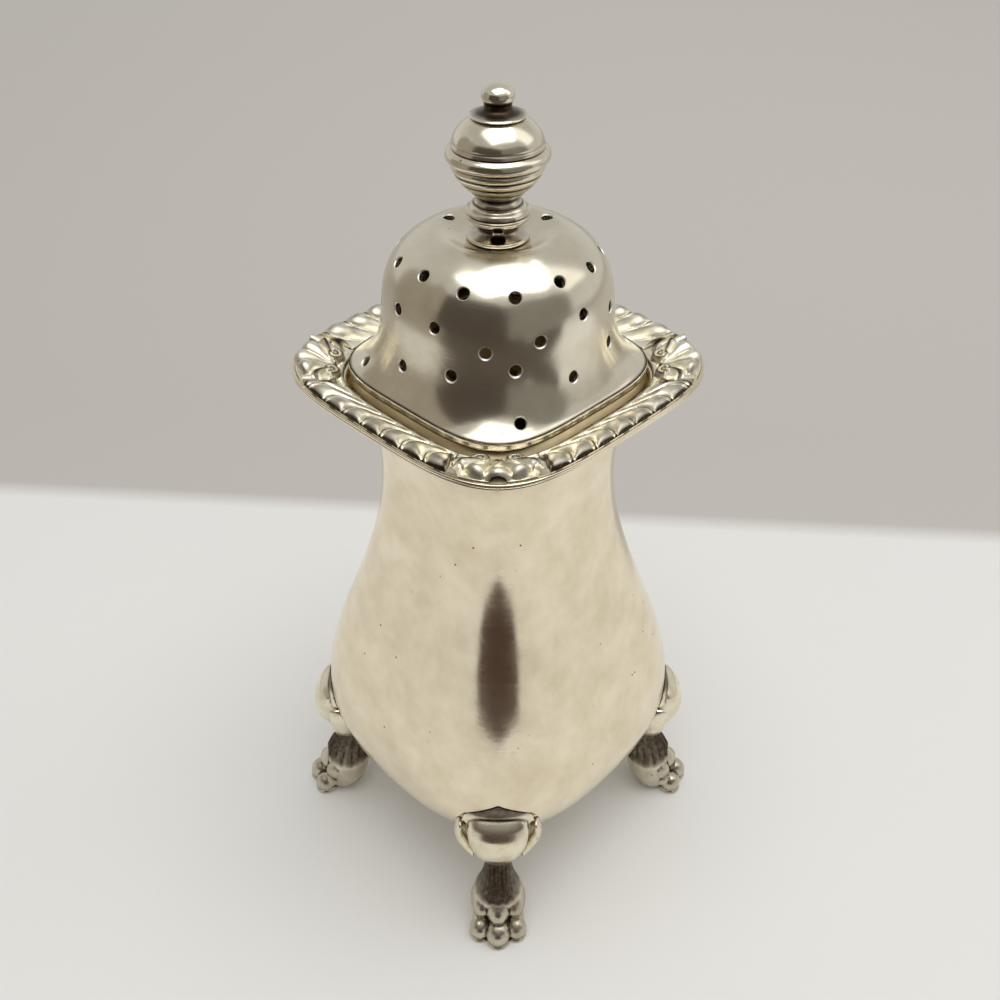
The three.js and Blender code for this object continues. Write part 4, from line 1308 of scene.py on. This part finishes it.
class SHAKER_OT_finial(bpy.types.Operator):
    """Makes the turned finial"""

    bl_idname = "shaker.finial"
    bl_label = "Finial"

    def execute(self, context):
        vase, lid, finial = chosen(context, "vase", "lid", "finial")
        crown = lid_levels(vase, lid)[2]
        rows = [(crown + z, radius, 2.0) for radius, z in finial_outline(finial)]
        mesh = lofted("finial", cushion(rows, TURNED_SIDES))
        drill = bmesh.new()
        place = outwards(FOOT_HOLE, crown + 0.8 * MM)
        lean = outwards(BORE_LEAN, 1).normalized()
        add_drill(drill, place, lean, BORE * lid.hole, 0.05 * MM, 3 * MM)
        mesh = cut("finial", mesh, mesh_from("foot_drill", drill))
        smoothed_below(mesh, 55)
        beside = places_of(mesh) - np.array(place)
        beside = np.linalg.norm(np.cross(beside, np.array(lean)), axis=1)
        level = places_of(mesh)[:, 2] - crown
        # Painted shade: the inside of the bore through the foot is darkened.
        painted_bore_shade = (1 - smooth_step(beside / lid.hole, *BORE_EDGE)) * (level < BORE_TOP)
        cap, neck = finial_levels(finial)[-2:]
        # The neck under the ball is darker.
        neck_darkened = 0.6 * smooth_step(level, cap + 0.5 * MM, cap + 0.62 * MM)
        neck_darkened = neck_darkened * (1 - smooth_step(level, neck, neck + 0.2 * MM))
        mark_hollows(mesh, painted_bore_shade, neck_darkened, rounds=14, depth=0.08 * MM, clear=0.1)
        show("turned_finial", mesh, "lid", ["finial"], [metals(context)["turned_silver"]])
        return {"FINISHED"}


# Studio


MIDDLE = (0, 0, 0.06)
FLOOR_REACH = 3
BEHIND = (-0.65, 0.76)  # the way along x and y in which the floor's far part lies
# The far floor's painted light grows between these distances, up to this gain.
FAR_LIGHT_FADE, FAR_LIGHT_GAIN = (0.12, 0.6), 1.3
LAMPS = (  # name, place as distance, height and turn, size, power, colour
    ("top_light", (0.1, 0.75, 0.4), (0.62, 0.52), 2.6, (1.0, 0.99, 0.97)),
    ("side_light", (0.5, 0.6, 1.7), (0.35, 0.5), 0.4, (1.0, 0.98, 0.95)),
)
CARDS = (  # name, turn, colour and edges, each with a distance, a height and a width
    ("dark_card", 0.0, (0.06, 0.034, 0.026),
     ((0.195, 0.0, 0.01), (0.215, 0.01, 0.16), (0.25, 0.04, 0.27), (0.52, 0.5, 0.5))),
    ("high_card", -0.5, (0.075, 0.06, 0.05),
     ((0.128, 0.07, 0.14), (0.13, 0.085, 0.28), (0.132, 0.2, 0.28), (0.135, 0.235, 0.17))),
    ("low_card", 0.0, (0.095, 0.08, 0.068), ((0.034, 0.082, 0.11), (0.124, 0.073, 0.52))),
    ("right_card", 0.6, (0.22, 0.21, 0.19),
     ((0.15, 0.075, 0.12), (0.15, 0.09, 0.26), (0.15, 0.2, 0.28), (0.15, 0.235, 0.15))),
    ("left_card", -1.45, (0.33, 0.3, 0.25),
     ((0.05, 0.085, 0.05), (0.15, 0.075, 0.2), (0.15, 0.2, 0.2), (0.15, 0.235, 0.12))),
)


def soft_light(name, place, size, power, tint):
    """A soft light that faces the shaker's middle."""
    light = bpy.data.lights.new(name, "AREA")
    light.shape = "RECTANGLE"
    light.size, light.size_y = size
    light.energy = power
    light.color = tint
    lamp = placed(name, light)
    lamp.location = place
    lamp.rotation_euler = (Vector(MIDDLE) - place).to_track_quat("-Z", "Y").to_euler()


def reflection_card(name, turn, shade, edges):
    """A card that shows only in reflections."""
    corners = []
    for distance, height, width in edges:
        for side in (-1, 1):
            swing = turn + math.atan2(side * width / 2, distance)
            corners.append(outwards(math.hypot(distance, width / 2), height, swing))
    faces = [[i, i + 1, i + 3, i + 2] for i in range(0, len(corners) - 2, 2)]
    card = placed(name, mesh_of(name, corners, faces))
    material, tree, _ = shaded(name)
    glow = add(tree, "ShaderNodeEmission", {"Color": (*shade, 1), "Strength": 1.0})
    tree.links.new(glow.outputs[0], tree.nodes["Material Output"].inputs["Surface"])
    card.data.materials.append(material)
    for ray in ("camera", "diffuse", "shadow", "transmission", "volume_scatter"):
        setattr(card, "visible_" + ray, False)


def floor_material(studio):
    """Pale near the shaker and grey-beige behind it, with painted light that makes the far part lighter
    further back.
    """
    material, tree, shader = shaded("floor")
    shader.inputs["Roughness"].default_value = 0.6
    place = add(tree, "ShaderNodeTexCoord").outputs["Object"]
    x, y, _ = add(tree, "ShaderNodeSeparateXYZ", {"Vector": place}).outputs
    behind = weighed(tree, (y, BEHIND[1]), (x, BEHIND[0]))
    far = ranged(tree, behind, studio.far_start - 2 * MM, studio.far_start + 4 * MM)
    # Painted light: the far part grows lighter further back, where the top lamp's light falls off.
    far_light_share = ranged(tree, behind, *FAR_LIGHT_FADE)
    painted_lit_far_floor = tuple(FAR_LIGHT_GAIN * c for c in studio.far_floor)
    far_tone = blended(tree, far_light_share, tuple(studio.far_floor), painted_lit_far_floor)
    grain = noise(tree, place, 14.0, 3.0)
    near_tone = blended(tree, grain, tuple(studio.floor), tuple(0.97 * c for c in studio.floor))
    tree.links.new(blended(tree, far, near_tone, far_tone), shader.inputs["Base Color"])
    return material


def make_room(scene, studio):
    """Plain light from all round, a little darker overhead."""
    scene.world = bpy.data.worlds.new("room")
    scene.world.use_nodes = True
    tree = scene.world.node_tree
    place = add(tree, "ShaderNodeTexCoord").outputs["Generated"]
    up = add(tree, "ShaderNodeSeparateXYZ", {"Vector": place}).outputs[2]
    tones = (tuple(studio.room_low), tuple(studio.room_high))
    room = blended(tree, ranged(tree, up, 0.1, 0.8), *tones)
    tree.links.new(room, tree.nodes["Background"].inputs["Color"])
    tree.nodes["Background"].inputs["Strength"].default_value = 1.0


class SHAKER_OT_studio(bpy.types.Operator):
    """Makes the floor, the lights and the camera"""

    bl_idname = "shaker.studio"
    bl_label = "Studio"

    def execute(self, context):
        studio, = chosen(context, "studio")
        corners = [(x * FLOOR_REACH, y * FLOOR_REACH, 0) for x, y in ((-1, -1), (1, -1), (1, 1), (-1, 1))]
        floor = placed("floor", mesh_of("floor", corners, [[0, 1, 2, 3]]))
        floor.data.materials.append(floor_material(studio))
        make_room(context.scene, studio)
        for name, stand, *light in LAMPS:
            soft_light(name, outwards(*stand), *light)
        for card in CARDS:
            reflection_card(*card)
        camera = placed("camera", bpy.data.cameras.new("camera"))
        camera.location = outwards(studio.camera_back, studio.camera_height)
        camera.rotation_euler = (TURN / 4 - studio.camera_pitch, 0, TURN / 4 - CORNER_ANGLE)
        camera.data.lens = studio.lens
        camera.data.sensor_width = studio.sensor
        camera.data.shift_x = studio.camera_shift
        camera.data.clip_start = 10 * MM
        context.scene.camera = camera
        context.scene.view_settings.view_transform = "Standard"
        return {"FINISHED"}


OPERATORS = (
    SHAKER_OT_vase,
    SHAKER_OT_gadroon_border,
    SHAKER_OT_corner_shells,
    SHAKER_OT_paw_feet,
    SHAKER_OT_lid_dome,
    SHAKER_OT_lid_bead,
    SHAKER_OT_finial,
    SHAKER_OT_studio,
)
GROUPS = {
    "shaker_vase": VaseSizes,
    "shaker_border": BorderSizes,
    "shaker_foot": FootSizes,
    "shaker_lid": LidSizes,
    "shaker_finial": FinialSizes,
    "shaker_finishes": Finishes,
    "shaker_studio": StudioSettings,
}


class SHAKER_PT_sidebar(bpy.types.Panel):
    """Lists the pieces of the shaker"""

    bl_idname = "SHAKER_PT_sidebar"
    bl_label = "Salt shaker"
    bl_space_type = "VIEW_3D"
    bl_region_type = "UI"
    bl_category = "Shaker"

    def draw(self, context):
        for operator in OPERATORS:
            self.layout.operator(operator.bl_idname)


def register():
    for group in GROUPS.values():
        bpy.utils.register_class(group)
    for name, group in GROUPS.items():
        setattr(bpy.types.Scene, name, bpy.props.PointerProperty(type=group))
    for operator in OPERATORS:
        bpy.utils.register_class(operator)
    bpy.utils.register_class(SHAKER_PT_sidebar)


def unregister():
    bpy.utils.unregister_class(SHAKER_PT_sidebar)
    for operator in reversed(OPERATORS):
        bpy.utils.unregister_class(operator)
    for name in GROUPS:
        delattr(bpy.types.Scene, name)
    for group in reversed(list(GROUPS.values())):
        bpy.utils.unregister_class(group)


def main():
    register()
    for operator in OPERATORS:
        group, action = operator.bl_idname.split(".")
        getattr(getattr(bpy.ops, group), action)()
    bpy.context.view_layer.update()


if __name__ == "__main__":
    main()
